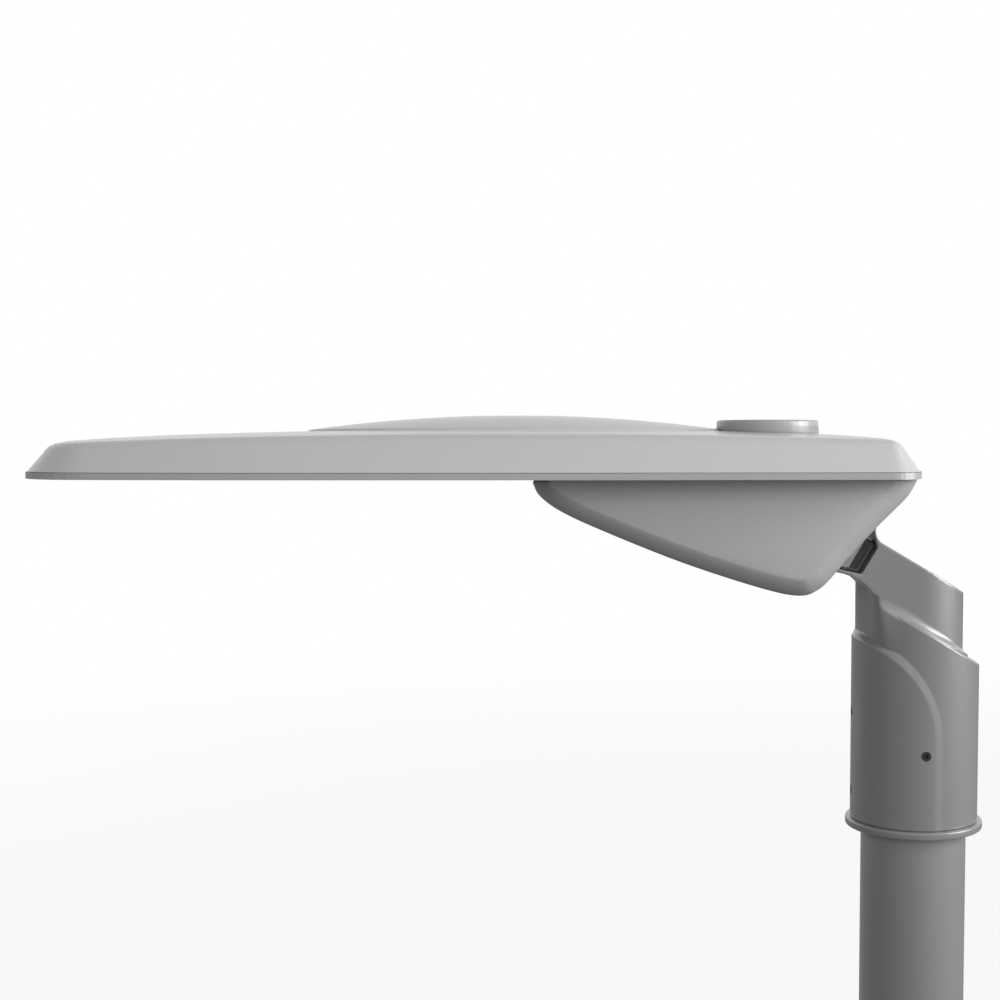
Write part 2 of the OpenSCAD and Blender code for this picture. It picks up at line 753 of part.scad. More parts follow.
module glass_gasket() {
    color(rubber) translate([0, 0, rim_top]) linear_extrude(glass_z - rim_top - seat) difference() {
        plan_rect(glass_x + 0.5, glass_l - 1, glass_w - 1, glass_corner - 0.5);
        plan_rect(glass_x + window_lip - 1, glass_l - 2 * window_lip + 2, glass_w - 2 * window_lip + 2,
            glass_corner - window_lip + 1);
    }
}

module glass_clips() {
    w = clip_w + clip_reach;
    color(steel) for (p = clip_at)
        difference() {
            union() {
                translate([p[0] - clip_l / 2, p[1] - clip_w / 2, rim_top])
                    cube([clip_l, clip_w, clip_z - rim_top + clip_t]);
                translate([p[0] - clip_l / 2, p[1] > 0 ? p[1] - w : p[1], clip_z]) cube([clip_l, w, clip_t]);
            }
            translate([p[0], p[1], rim_top - 1]) cylinder(d = small_screw_d + fit, h = 12);
        }
}

module glass_screws() {
    color(steel) for (p = clip_at)
        translate([p[0], p[1], clip_z + clip_t + seat]) mirror([0, 0, 1])
            screw(small_screw_d, glass_screw_l, 5.6, 1.8);
}

// Light engine

lens_t = 2.4;
lens_x = glass_x + (glass_l - board_l) / 2;
lens_z = glass_z + glass_t + 2.8;
board_z = lens_z + lens_t + seat;
board_t = 1.6;
spreader_z = board_z + board_t + seat;
spreader_t = 3;
spreader_top = spreader_z + spreader_t;
led_pitch_x = board_l / led_rows;
led_pitch_y = board_w / led_cols;
led_at = [for (i = [0 : led_rows - 1], j = [0 : led_cols - 1])
    [lens_x + (i + 0.5) * led_pitch_x, (j + 0.5) * led_pitch_y - board_w / 2]];
spreader_screw_at = [for (x = [0, 0.5, 1], s = [-1, 1])
    [lens_x + 8 + x * (board_l - 16), s * (x == 0.5 ? 0.5 : 1) * (board_w / 2 - 6)]];
led_w = 3.5;

module lens_plate() {
    color([0.85, 0.9, 0.92, 0.6]) difference() {
        union() {
            translate([0, 0, lens_z]) linear_extrude(lens_t) plan_rect(lens_x, board_l, board_w, 6);
            intersection() {
                union() for (p = led_at)
                    translate([p[0], p[1], lens_z + 6]) sphere(r = 8.2);
                translate([lens_x, -board_w / 2, lens_z - 5]) cube([board_l, board_w, 6]);
            }
        }
        for (p = led_at)
            translate([p[0] - led_w / 2 - 0.6, p[1] - led_w / 2 - 0.6, lens_z + lens_t - 1])
                cube([led_w + 1.2, led_w + 1.2, 2]);
        for (p = spreader_screw_at)
            translate([p[0], p[1], lens_z - 1]) cylinder(d = small_screw_d + fit, h = 6);
    }
}

module led_board() {
    color([0.9, 0.9, 0.88]) translate([0, 0, board_z]) linear_extrude(board_t) difference() {
        plan_rect(lens_x, board_l, board_w, 6);
        for (p = spreader_screw_at)
            translate(p) circle(d = small_screw_d + fit);
    }
}

module leds() {
    color([0.95, 0.8, 0.3]) for (p = led_at)
        translate([p[0] - led_w / 2, p[1] - led_w / 2, board_z - 0.8]) cube([led_w, led_w, 0.75]);
}

module heat_spreader() {
    color(steel) translate([0, 0, spreader_z]) linear_extrude(spreader_t) difference() {
        plan_rect(lens_x - 4, board_l + 8, board_w + 8, 10);
        for (p = spreader_screw_at)
            translate(p) circle(d = small_screw_d + fit);
    }
}

module spreader_screws() {
    color(steel) for (p = spreader_screw_at)
        translate([p[0], p[1], lens_z - seat]) screw(small_screw_d, spreader_top - lens_z + 3.8, 5.6, 1.6);
}

// Gear compartment

cover_z = plate_z - 1.3;
cover_x0 = head_x1 - 8.2 - gear_l;
nose_arc = 3.4;
hinge_x = cover_x0 + nose_arc;
hinge_z = cover_z - nose_arc;
tray_t = 1.5;
tray_screw_l = 7;
cover_screw_x = cover_x0 + 0.69 * gear_l;
pillar_rise = 17;
pillar_z = cover_z - gear_depth + pillar_rise;
pillar_r = 5;
pillar_mouth_r = 3.4;
cover_screw_d = 4;
cover_screw_seat = 2.6;

// Side outline of the cover as shares of its length and depth, from the nose to the rear
gear_points = [[0.018, -0.149], [0.07, -0.276], [0.175, -0.437], [0.383, -0.71], [0.591, -0.932],
    [0.695, -1], [0.748, -0.939], [0.791, -0.796], [0.828, -0.651], [0.901, -0.395], [0.94, -0.268],
    [0.977, -0.14], [1, 0]];
gear_steps = 3;

function gear_at(p) = [cover_x0 + p[0] * gear_l, cover_z + p[1] * gear_depth];

function spline(a, b, c, d, t) = 0.5 * (2 * b + (c - a) * t + (2 * a - 5 * b + 4 * c - d) * t * t
    + (3 * b - a - 3 * c + d) * t * t * t);

gear_knots = concat([[cover_x0, hinge_z]], [for (p = gear_points) gear_at(p)]);

function knot(i) = i < 0 ? 2 * gear_knots[0] - gear_knots[1]
    : i >= len(gear_knots) ? gear_knots[i - 1] + [0, 5] : gear_knots[i];

// The outline's points: a round nose about the hinge, then a smooth run through the knots
gear_profile = concat(
    [[hinge_x, cover_z], [hinge_x - nose_arc * sin(45), hinge_z + nose_arc * cos(45)]],
    [for (i = [0 : len(gear_knots) - 2], j = [0 : gear_steps - 1])
        spline(knot(i - 1), knot(i), knot(i + 1), knot(i + 2), j / gear_steps)],
    [gear_knots[len(gear_knots) - 1]]);
apron_first = len(gear_profile) - 3 * gear_steps;

// Inward normal of the outline at point i
function gear_normal(i) =
    let (n = len(gear_profile), v = gear_profile[min(i + 1, n - 1)] - gear_profile[max(i - 1, 0)])
    [-v[1], v[0]] / norm(v);

// Point i of the outline, drawn in by e
function gear_edge(i, e) =
    let (n = len(gear_profile), p = gear_profile[i], q = p + e * gear_normal(i))
    i < 3 ? p + [e, 0] : i == n - 1 ? [q[0], cover_z]
        : [max(q[0], cover_x0 + e), min(q[1], cover_z - min(0.4 * (n - 1 - i), nose_arc + 0.8 * (i - 2)))];

// How far the rounding at share t of the turn draws the outline in at point i. An edge_form of 1 gives a
// round edge, and a higher one a flatter edge with firmer corners
edge_form = 1.5;
function gear_round(i, t, r) =
    r * (1 - pow(cos(90 * t), edge_form)) * (0.85 + 0.3 * pow(i / len(gear_profile), 2));

gear_turns = [0, 0.25, 0.45, 0.65, 0.82, 1];

// Sections of the cover's skin across its width, with the surface wall inside
function gear_sections(wall) =
    let (r = gear_edge_r - wall, h = gear_w / 2 - wall, n = len(gear_profile))
    [for (s = [-1, 1], k = [0 : len(gear_turns) - 1])
        let (t = gear_turns[s < 0 ? len(gear_turns) - 1 - k : k])
        [for (i = [0 : n - 1]) let (p = gear_edge(i, wall + gear_round(i, t, r)))
            [p[0], s * (h - r + r * pow(sin(90 * t), edge_form)), p[1]]]];

// Two triangles for each cell between section a and section b of n points each
function strip(a, b, n) = [for (i = [0 : n - 2])
    each [[a * n + i, a * n + i + 1, b * n + i + 1], [a * n + i, b * n + i + 1, b * n + i]]];

function quad(a, b, c, d) = [[a, b, c], [a, c, d]];

module gear_shell() {
    outer = gear_sections(0);
    inner = gear_sections(gear_wall);
    n = len(gear_profile);
    k = len(outer);
    o = k * n;
    skin = concat([for (i = [0 : k - 2]) each strip(i, i + 1, n)]);
    lining = concat([for (i = [0 : k - 2]) each strip(k + i, k + i + 1, n)]);
    rim_front = [for (i = [0 : k - 2]) each quad(i * n, (i + 1) * n, o + (i + 1) * n, o + i * n)];
    rim_rear = [for (i = [0 : k - 2])
        each quad(i * n + n - 1, o + i * n + n - 1, o + (i + 1) * n + n - 1, (i + 1) * n + n - 1)];
    ends = concat(quad(0, o, o + n - 1, n - 1),
        quad((k - 1) * n, k * n - 1, o + k * n - 1, o + (k - 1) * n));
    sides = [[for (i = [0 : n - 1]) i], [for (i = [n - 1 : -1 : 0]) (k - 1) * n + i],
        [for (i = [n - 1 : -1 : 0]) o + i], [for (i = [0 : n - 1]) o + (k - 1) * n + i]];
    polyhedron(joined(concat(outer, inner)),
        concat(skin, turned(lining), rim_front, rim_rear, ends, [for (f = sides) reversed(f)]));
}

function reversed(f) = [for (i = [len(f) - 1 : -1 : 0]) f[i]];

slot_ahead = 21;
slot_below = 24;
slot_x = tilt_x - slot_ahead;
slot_floor = tilt_z - slot_below;

module gear_cover() {
    floor_z = cover_z - gear_depth;
    color(casting_grey) difference() {
        union() {
            gear_shell();
            for (s = [-1, 1]) {
                translate([cover_screw_x, s * cover_screw_y, floor_z + gear_wall / 2])
                    cylinder(r = pillar_r, h = pillar_z - fit - floor_z - gear_wall / 2);
                translate([hinge_x, s * lug_y - barrel_l / 2, hinge_z]) rotate([-90, 0, 0])
                    cylinder(r = nose_arc - seat, h = barrel_l);
            }
        }
        translate([slot_x, -slot_w / 2, slot_floor]) cube([120, slot_w, 100]);
        for (s = [-1, 1]) {
            translate([cover_screw_x, s * cover_screw_y, floor_z - 1])
                cylinder(d = cover_screw_d + 2 * fit, h = 24);
            translate([cover_screw_x, s * cover_screw_y, floor_z - 1])
                cylinder(r = 4, h = cover_screw_seat + 1);
            translate([hinge_x, s * lug_y - lug_w / 2 - slide, hinge_z]) rotate([-90, 0, 0])
                cylinder(r = nose_arc + slide, h = lug_w + 2 * slide);
            translate([hinge_x - 6, s * lug_y - lug_w / 2 - slide, hinge_z])
                cube([6 + nose_arc + slide, lug_w + 2 * slide, 10]);
            translate([hinge_x, s * lug_y - 20, hinge_z]) rotate([-90, 0, 0])
                cylinder(d = hinge_pin_d + fit, h = 40);
        }
    }
}

module cover_screws() {
    floor_z = cover_z - gear_depth;
    color(steel) for (s = [-1, 1])
        translate([cover_screw_x, s * cover_screw_y, floor_z + cover_screw_seat - seat])
            screw(cover_screw_d, pillar_rise - cover_screw_seat + 2.4, 7, 2.4);
}

module hinge_pins() {
    color(steel) for (s = [-1, 1])
        translate([hinge_x, s * lug_y - lug_w / 2 - 9, hinge_z]) rotate([-90, 0, 0])
            cylinder(d = hinge_pin_d, h = lug_w + 18);
}

// Strip seal under the base frame, over the cover's top edge and open at the knuckle
module cover_gasket() {
    x0 = hinge_x + nose_arc + 1;
    x1 = gear_profile[len(gear_profile) - 1][0] - gear_edge_r;
    color(rubber) translate([0, 0, plate_z - 1]) linear_extrude(1) difference() {
        translate([x0, -gear_w / 2 + 0.4]) square([x1 - x0, gear_w - 0.8]);
        translate([x0 + 3, -gear_w / 2 + 3.6]) square([x1 - x0 + 5, gear_w - 7.2]);
    }
}

module gear_tray() {
    color(steel) difference() {
        union() {
            translate([tray_x[0], -tray_half, tray_z]) cube([tray_x[1] - tray_x[0], 2 * tray_half, tray_t]);
            for (s = [-1, 1])
                translate([tray_x[0] + 20, s * (tray_half - tray_t / 2) - tray_t / 2, tray_z - 8])
                    cube([tray_x[1] - tray_x[0] - 36, tray_t, 8 + eps]);
        }
        for (p = tray_boss_at)
            translate([p[0], p[1], tray_z - 1]) cylinder(d = small_screw_d + fit, h = 4);
    }
}

module tray_screws() {
    color(steel) for (p = tray_boss_at)
        translate([p[0], p[1], tray_z - seat]) screw(small_screw_d, tray_screw_l, 5.6, 1.8);
}

driver_size = [104, 72, 22];
driver_x = -222;
foot_t = 1.2;
wiring_gap = 9;

module driver() {
    color([0.92, 0.92, 0.9]) {
        translate([driver_x, -driver_size[1] / 2, tray_z - seat - driver_size[2]]) cube(driver_size);
        for (x = [driver_x - 8, driver_x + driver_size[0] - eps])
            translate([x, -12, tray_z - seat - foot_t]) cube([8, 24, foot_t]);
    }
}

ring_r = 8.5;
terminal_size = [16, 44, 20];
terminal_y = -ring_r - slide - terminal_size[1];

module terminal_block() {
    ways = 4;
    pitch = terminal_size[1] / ways;
    x = driver_x + driver_size[0] + wiring_gap;
    color([0.94, 0.94, 0.92]) translate([x, terminal_y, tray_z - seat - terminal_size[2]]) difference() {
        cube(terminal_size);
        for (i = [0 : ways - 1]) {
            translate([4, (i + 0.5) * pitch, -1]) cylinder(d = 4.5, h = 7);
            translate([-1, (i + 0.5) * pitch, 12]) rotate([0, 90, 0]) cylinder(d = 3.6, h = 8);
            translate([terminal_size[0] - 7, (i + 0.5) * pitch, 12]) rotate([0, 90, 0])
                cylinder(d = 3.6, h = 8);
        }
    }
}

surge_size = [16, 42, 26];

module surge_protector() {
    x = driver_x + driver_size[0] + wiring_gap;
    color([0.2, 0.3, 0.55]) translate([x, ring_r + slide, tray_z - seat - surge_size[2]]) cube(surge_size);
}

// Bracket with a ring that holds the supply cable in line with the arm's channel
clamp_s = -38;
clamp_foot = [12, 30, 3];
clamp_web = 3;
ring_l = 9;
ring_hole_d = 11;

module cable_clamp() {
    ring = arm_pt(clamp_s, -1);
    foot_z = plate_z - seat - clamp_foot[2];
    color(dark_grey) difference() {
        union() {
            translate([ring[0] - ring_r, -clamp_foot[1] / 2, foot_z]) cube(clamp_foot);
            translate([ring[0] - clamp_web / 2, -clamp_foot[1] / 2, ring[1]])
                cube([clamp_web, clamp_foot[1], foot_z - ring[1] + 1]);
            translate([ring[0], 0, ring[1]]) rotate([0, arm_slope - 90, 0])
                cylinder(r = ring_r, h = ring_l, center = true);
        }
        translate([ring[0], 0, ring[1]]) rotate([0, arm_slope - 90, 0])
            cylinder(d = ring_hole_d, h = 30, center = true);
        for (s = [-1, 1])
            translate([ring[0] - 5, s * 11, foot_z - 1]) cylinder(d = small_screw_d + fit, h = 5);
    }
}

pole();
collar_ring();
adaptor();
set_screws();
tilt_bolts();
tilt_nuts();
tilt_washers();
tilt_bracket();
bracket_screws();
base_frame();
canopy();
canopy_gasket();
canopy_screws();
glass();
glass_gasket();
glass_clips();
glass_screws();
lens_plate();
led_board();
leds();
heat_spreader();
spreader_screws();
socket_base();
socket_gasket();
control_cap();
gear_tray();
tray_screws();
driver();
terminal_block();
surge_protector();
cable_clamp();
gear_cover();
cover_gasket();
cover_screws();
hinge_pins();
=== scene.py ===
import json
import math

import bmesh
import bpy
from mathutils import Matrix, Vector

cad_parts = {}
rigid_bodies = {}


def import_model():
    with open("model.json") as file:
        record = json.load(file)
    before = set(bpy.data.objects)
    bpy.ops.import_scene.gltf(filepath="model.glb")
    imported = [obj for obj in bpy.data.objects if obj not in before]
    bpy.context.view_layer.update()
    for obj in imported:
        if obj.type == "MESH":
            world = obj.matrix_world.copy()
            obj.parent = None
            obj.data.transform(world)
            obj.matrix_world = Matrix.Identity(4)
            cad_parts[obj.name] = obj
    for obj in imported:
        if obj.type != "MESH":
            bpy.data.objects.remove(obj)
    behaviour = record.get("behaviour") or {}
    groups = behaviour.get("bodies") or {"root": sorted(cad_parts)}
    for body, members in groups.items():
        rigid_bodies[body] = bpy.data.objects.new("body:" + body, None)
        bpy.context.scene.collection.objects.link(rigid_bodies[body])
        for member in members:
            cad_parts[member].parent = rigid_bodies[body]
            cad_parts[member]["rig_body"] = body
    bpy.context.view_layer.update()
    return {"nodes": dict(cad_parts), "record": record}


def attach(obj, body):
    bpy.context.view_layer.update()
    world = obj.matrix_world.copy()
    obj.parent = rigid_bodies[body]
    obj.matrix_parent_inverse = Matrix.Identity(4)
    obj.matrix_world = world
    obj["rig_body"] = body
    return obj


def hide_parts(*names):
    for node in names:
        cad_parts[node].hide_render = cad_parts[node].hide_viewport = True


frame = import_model()
nodes = frame["nodes"]
mm = 0.001
print("frame loaded")


camera = {
    "place": (-0.2158, -1.1084, 0.4857),
    "lookDown": 3.387,    # degrees
    "turnLeft": 0.383,
    "lens": 54.79,
    "shift": (-0.11, 0.0253),    # the photo is cropped off its own centre by about this much
}


def makeCamera():
    data = bpy.data.cameras.new("camera")
    data.sensor_width = 36
    data.lens = camera["lens"]
    data.shift_x, data.shift_y = camera["shift"]
    data.clip_start = 0.01
    item = bpy.data.objects.new("camera", data)
    item.location = camera["place"]
    item.rotation_euler = (math.radians(90 - camera["lookDown"]), 0, math.radians(camera["turnLeft"]))
    bpy.context.scene.collection.objects.link(item)
    bpy.context.scene.camera = item


makeCamera()


# Shader maths: a wire is a node socket that can be added, multiplied and so on

class Wire:
    def __init__(self, coat, socket):
        self.coat = coat
        self.socket = socket

    def combine(self, operation, first, second):
        return self.coat.add("ShaderNodeMath", {"operation": operation}, {0: first, 1: second})

    def __add__(self, other):
        return self.combine("ADD", self, other)

    def __sub__(self, other):
        return self.combine("SUBTRACT", self, other)

    def __mul__(self, other):
        return self.combine("MULTIPLY", self, other)

    def __rsub__(self, other):
        return self.combine("SUBTRACT", other, self)

    __radd__ = __add__
    __rmul__ = __mul__

    def above(self, low, high):    # 0 under low, 1 over high
        return self.coat.add("ShaderNodeMapRange", {"interpolation_type": "SMOOTHSTEP"},
                             {"Value": self, "From Min": low, "From Max": high}, "Result")


class Coat:
    # A material, or the world, and its nodes
    def __init__(self, owner, end="ShaderNodeOutputMaterial"):
        self.owner = owner
        owner.use_nodes = True
        self.tree = owner.node_tree
        self.tree.nodes.clear()
        self.end = self.tree.nodes.new(end)

    def add(self, kind, settings=None, values=None, output=0):
        node = self.tree.nodes.new(kind)
        for name, value in (settings or {}).items():
            setattr(node, name, value)
        for name, value in (values or {}).items():
            if isinstance(value, Wire):
                self.tree.links.new(value.socket, node.inputs[name])
            else:
                node.inputs[name].default_value = value
        return Wire(self, node.outputs[output])

    def place(self, scale=(1, 1, 1)):
        own = self.add("ShaderNodeTexCoord", output="Object")
        return self.add("ShaderNodeMapping", None, {"Vector": own, "Scale": scale})

    def noise(self, where, scale, detail=3.0, rough=0.5):
        return self.add("ShaderNodeTexNoise", None, {"Vector": where, "Scale": scale, "Detail": detail,
                                                     "Roughness": rough}, "Fac")

    def blend(self, share, first, second):
        return self.add("ShaderNodeMix", {"data_type": "RGBA"}, {"Factor": share, 6: first, 7: second}, 2)

    def bump(self, height, strength, distance):
        return self.add("ShaderNodeBump", None,
                        {"Height": height, "Strength": strength, "Distance": distance}, "Normal")

    def finish(self, values):
        return self.show(self.add("ShaderNodeBsdfPrincipled", None, values, "BSDF"))

    def show(self, shader):
        self.tree.links.new(shader.socket, self.end.inputs["Surface"])
        return self.owner


# The tilt axis, and the line behind which painted shade darkens the recessed faces round it
tilt = {"x": -57, "z": 407, "edgeX": 0.834, "edgeZ": -0.552, "edgeAt": -261.3, "shade": 0.16, "soft": 0.4}
powder = {
    "speckScale": 1400, "peelScale": 260, "cloudScale": 9, "streakScale": (60, 60, 5),
    "cloudShare": 0.6, "speckShare": 0.65, "bumpDepth": 0.00012, "coatRough": 0.15,
}


def powderCoat(name, tone, grain=0.5, rough=0.42, metal=0.1, dust=0.1, coat=0.0, fleck=0.09, knuckleShade=None):
    # Fine-textured silver-grey powder coat, flecked, and a little dustier in patches and streaks
    paint = Coat(bpy.data.materials.new(name))
    where = paint.place()
    speck = paint.noise(where, powder["speckScale"], 2.0, 0.6)
    peel = paint.noise(where, powder["peelScale"], 2.0, 0.5)
    cloud = paint.noise(where, powder["cloudScale"], 4.0, 0.55)
    streak = paint.noise(paint.place(powder["streakScale"]), 1.0, 3.0, 0.6)
    cloudShare, speckShare = powder["cloudShare"], powder["speckShare"]
    grime = cloud.above(0.45, 0.75) * cloudShare + streak.above(0.5, 0.8) * (1 - cloudShare)
    light = tuple(min(1.0, c * (1 + fleck)) for c in tone) + (1,)
    dark = tuple(c * (1 - fleck) for c in tone) + (1,)
    dusty = tuple(c * 0.93 + 0.012 * k for c, k in zip(tone, (1.1, 1.0, 0.8))) + (1,)
    flecks = paint.blend(speck.above(0.36, 0.64), dark, light)
    body = paint.blend(grime * dust, flecks, dusty)
    if knuckleShade:    # painted shade in the recess: the clamped faces within a radius and a half width of the tilt axis are darkened, standing for the shade there
        radius, halfWidth = knuckleShade
        x, y, z = (paint.add("ShaderNodeSeparateXYZ", None, {"Vector": paint.place((1000, 1000, 1000))}, axis)
                   for axis in "XYZ")
        far = paint.add("ShaderNodeVectorMath", {"operation": "LENGTH"}, {0: paint.add(
            "ShaderNodeCombineXYZ", None, {"X": x - tilt["x"], "Z": z - tilt["z"]})}, "Value")
        wide = paint.add("ShaderNodeMath", {"operation": "ABSOLUTE"}, {0: y})
        behind = x * tilt["edgeX"] + z * tilt["edgeZ"] - tilt["edgeAt"]
        soft = tilt["soft"]
        mask = (1 - far.above(radius, radius + soft)) * (1 - wide.above(halfWidth, halfWidth + soft))
        # The painted shade's colour: the tone darkened by tilt["shade"]
        black = tuple(c * tilt["shade"] for c in tone) + (1,)
        body = paint.blend(mask * behind.above(-soft / 2, soft / 2), body, black)
    return paint.finish({
        "Base Color": body,
        "Metallic": metal,
        "Roughness": rough + (speck - 0.5) * 0.12 + grime * 0.06,
        "Coat Weight": coat,
        "Coat Roughness": powder["coatRough"],
        "Normal": paint.bump(speck * speckShare + peel * (1 - speckShare), grain, powder["bumpDepth"]),
    })


def brushedMetal(name, tone, rough=0.3):
    metal = Coat(bpy.data.materials.new(name))
    lines = metal.noise(metal.place((1, 1, 30)), 120, 3.0, 0.6)
    marks = metal.noise(metal.place(), 35, 4.0, 0.6)
    pale = tuple(min(1.0, c * 1.12) for c in tone) + (1,)
    dull = tuple(c * 0.78 for c in tone) + (1,)
    return metal.finish({
        "Base Color": metal.blend(marks.above(0.35, 0.7), pale, dull),
        "Metallic": 1.0,
        "Roughness": rough + lines * 0.12,
        "Normal": metal.bump(lines, 0.15, 0.0001),
    })


def mouldedPlastic(name, tone, rough=0.5, grain=0.3):
    plastic = Coat(bpy.data.materials.new(name))
    fine = plastic.noise(plastic.place(), 900, 2.0, 0.5)
    patch = plastic.noise(plastic.place(), 18, 4.0, 0.5)
    pale = tuple(min(1.0, c * 1.06 + 0.004) for c in tone) + (1,)
    dull = tuple(c * 0.92 for c in tone) + (1,)
    return plastic.finish({
        "Base Color": plastic.blend(patch.above(0.35, 0.65), pale, dull),
        "Roughness": rough + (patch - 0.5) * 0.12,
        "Normal": plastic.bump(fine, grain, 0.0001),
    })


def clearSheet(name, tone, rough, opacity):
    sheet = Coat(bpy.data.materials.new(name))
    smear = sheet.noise(sheet.place(), 14, 4.0, 0.6)
    return sheet.finish({
        "Base Color": sheet.blend(smear, tone + (1,), tuple(c * 0.96 for c in tone) + (1,)),
        "Roughness": rough + smear.above(0.5, 0.8) * 0.06,
        "IOR": 1.5,
        "Alpha": opacity + smear.above(0.55, 0.85) * 0.04,
    })


finishes = {
    "canopy_paint": powderCoat("canopyPaint", (0.43, 0.436, 0.446), grain=0.04, rough=0.34, metal=0.12,
                               dust=0.06, coat=0.55, fleck=0.02),
    "casting_paint": powderCoat("castingPaint", (0.36, 0.362, 0.362), grain=0.45, rough=0.46, fleck=0.07),
    "rim_paint": powderCoat("rimPaint", (0.33, 0.332, 0.335), grain=0.1, rough=0.4, metal=0.2, fleck=0.03),
    # The adaptor and the bracket get painted shade on their clamped faces round the tilt axis
    "adaptor_paint": powderCoat("adaptorPaint", (0.188, 0.19, 0.192), grain=0.1, rough=0.32, coat=0.8,
                                fleck=0.03, knuckleShade=(24, 24.3)),
    "bracket_paint": powderCoat("bracketPaint", (0.26, 0.262, 0.264), grain=0.2, rough=0.4, fleck=0.05,
                                knuckleShade=(30, 40)),
    "pole_paint": powderCoat("polePaint", (0.205, 0.206, 0.209), grain=0.1, rough=0.32, coat=0.8, fleck=0.03),
    "cap_plastic": powderCoat("capPlastic", (0.27, 0.27, 0.272), grain=0.15, rough=0.42, metal=0.0, coat=0.8,
                              fleck=0.04),
    "stainless": brushedMetal("stainless", (0.55, 0.55, 0.54)),
    "set_screw_steel": brushedMetal("setScrewSteel", (0.09, 0.09, 0.1), rough=0.35),
    "seal": mouldedPlastic("sealRubber", (0.02, 0.02, 0.021), rough=0.7),
    "clear_glass": clearSheet("clearGlass", (0.9, 0.95, 0.94), 0.03, 0.16),
    "clear_lens": clearSheet("clearLens", (0.93, 0.94, 0.95), 0.12, 0.4),
    "board": mouldedPlastic("boardMask", (0.8, 0.8, 0.77), rough=0.4),
    "phosphor": mouldedPlastic("phosphor", (0.85, 0.62, 0.1), rough=0.35),
    "bare_aluminium": brushedMetal("bareAluminium", (0.7, 0.7, 0.71), rough=0.36),
    "black_plastic": mouldedPlastic("blackPlastic", (0.03, 0.03, 0.033)),
    "white_plastic": mouldedPlastic("whitePlastic", (0.76, 0.76, 0.73), rough=0.45),
    "blue_plastic": mouldedPlastic("bluePlastic", (0.05, 0.12, 0.34), rough=0.42),
}
slotOf = {part["node"]: part["material_slot"] for part in frame["record"]["subparts"]}
coatOf = {node: slotOf[node] for node in nodes}
coatOf.update({node: "adaptor_paint" for node in ("adaptor", "collar_ring")})
coatOf["tilt_bracket"] = "bracket_paint"
coatOf["set_screws"] = "set_screw_steel"
coatOf["base_frame"] = "rim_paint"

for node, item in nodes.items():
    item.data.materials.clear()
    item.data.materials.append(finishes[coatOf[node]])
print("materials made")


def addPiece(name, bm, node, sharp):
    # A new mesh object with the body and finish of a CAD node, which it stands for
    mesh = bpy.data.meshes.new(name)
    bm.to_mesh(mesh)
    bm.free()
    piece = bpy.data.objects.new(name, mesh)
    bpy.context.scene.collection.objects.link(piece)
    mesh.materials.append(finishes[coatOf[node]])
    for face in mesh.polygons:
        face.use_smooth = True
    mesh.set_sharp_from_angle(angle=math.radians(sharp))
    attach(piece, nodes[node]["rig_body"])
    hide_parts(node)
    return piece


def keepShape(piece):
    # Puts the result of a piece's modifiers into its mesh
    bpy.context.view_layer.update()
    shaped = bpy.data.meshes.new_from_object(piece.evaluated_get(bpy.context.evaluated_depsgraph_get()))
    piece.modifiers.clear()
    piece.data = shaped


def cutAway(piece, bm):
    # Cuts the solid in bm out of a piece
    mesh = bpy.data.meshes.new("cutter")
    bm.to_mesh(mesh)
    bm.free()
    cutter = bpy.data.objects.new("cutter", mesh)
    bpy.context.scene.collection.objects.link(cutter)
    cut = piece.modifiers.new("cut", "BOOLEAN")
    cut.operation = "DIFFERENCE"
    cut.solver = "EXACT"
    cut.use_hole_tolerant = True
    cut.object = cutter
    keepShape(piece)
    bpy.data.objects.remove(cutter)


def ringEdges(bm, ring):
    return [bm.edges.get((a, b)) for a, b in zip(ring, ring[1:] + ring[:1])]


def addBlock(bm, low, high):
    middle = [(a + b) / 2 * mm for a, b in zip(low, high)]
    size = [(b - a) * mm for a, b in zip(low, high)]
    bmesh.ops.create_cube(bm, size=1, matrix=Matrix.Translation(middle) @ Matrix.Diagonal((*size, 1)))


def growRing(bm, ring, places):
    # Extrudes a ring or row of vertices and puts the new ones at places
    made = bmesh.ops.extrude_edge_only(bm, edges=[edge for edge in ringEdges(bm, ring) if edge])
    fresh = {v for v in made["geom"] if isinstance(v, bmesh.types.BMVert)}
    after = [next(e.other_vert(v) for e in v.link_edges if e.other_vert(v) in fresh) for v in ring]
    for v, place in zip(after, places):
        v.co = Vector(place) * mm
    return after


def faceOutwards(bm, centre):
    bmesh.ops.recalc_face_normals(bm, faces=bm.faces)
    middle = Vector(centre) * mm
    outward = sum(f.calc_area() * f.normal.dot(f.calc_center_median() - middle) for f in bm.faces)
    if outward < 0:
        bmesh.ops.reverse_faces(bm, faces=bm.faces)


def thicken(bm, wall, low, high):
    # Gives an open skin its wall, and keeps the inner side of it between two corners
    same = 1e-5
    before = {v: v.co.copy() for v in bm.verts}
    bmesh.ops.solidify(bm, geom=bm.faces[:], thickness=wall * mm)
    for v in bm.verts:
        if v not in before or (v.co - before[v]).length > same / 100:
            v.co = [max(a * mm, min(b * mm, c)) for a, b, c in zip(low, high, v.co)]
    bmesh.ops.remove_doubles(bm, verts=bm.verts, dist=same)
    bmesh.ops.dissolve_degenerate(bm, edges=bm.edges, dist=same)


def firstRing(bm, places):
    ring = bmesh.ops.create_circle(bm, cap_ends=False, radius=1, segments=len(places))["verts"]
    for v, place in zip(ring, places):
        v.co = Vector(place) * mm
    return ring


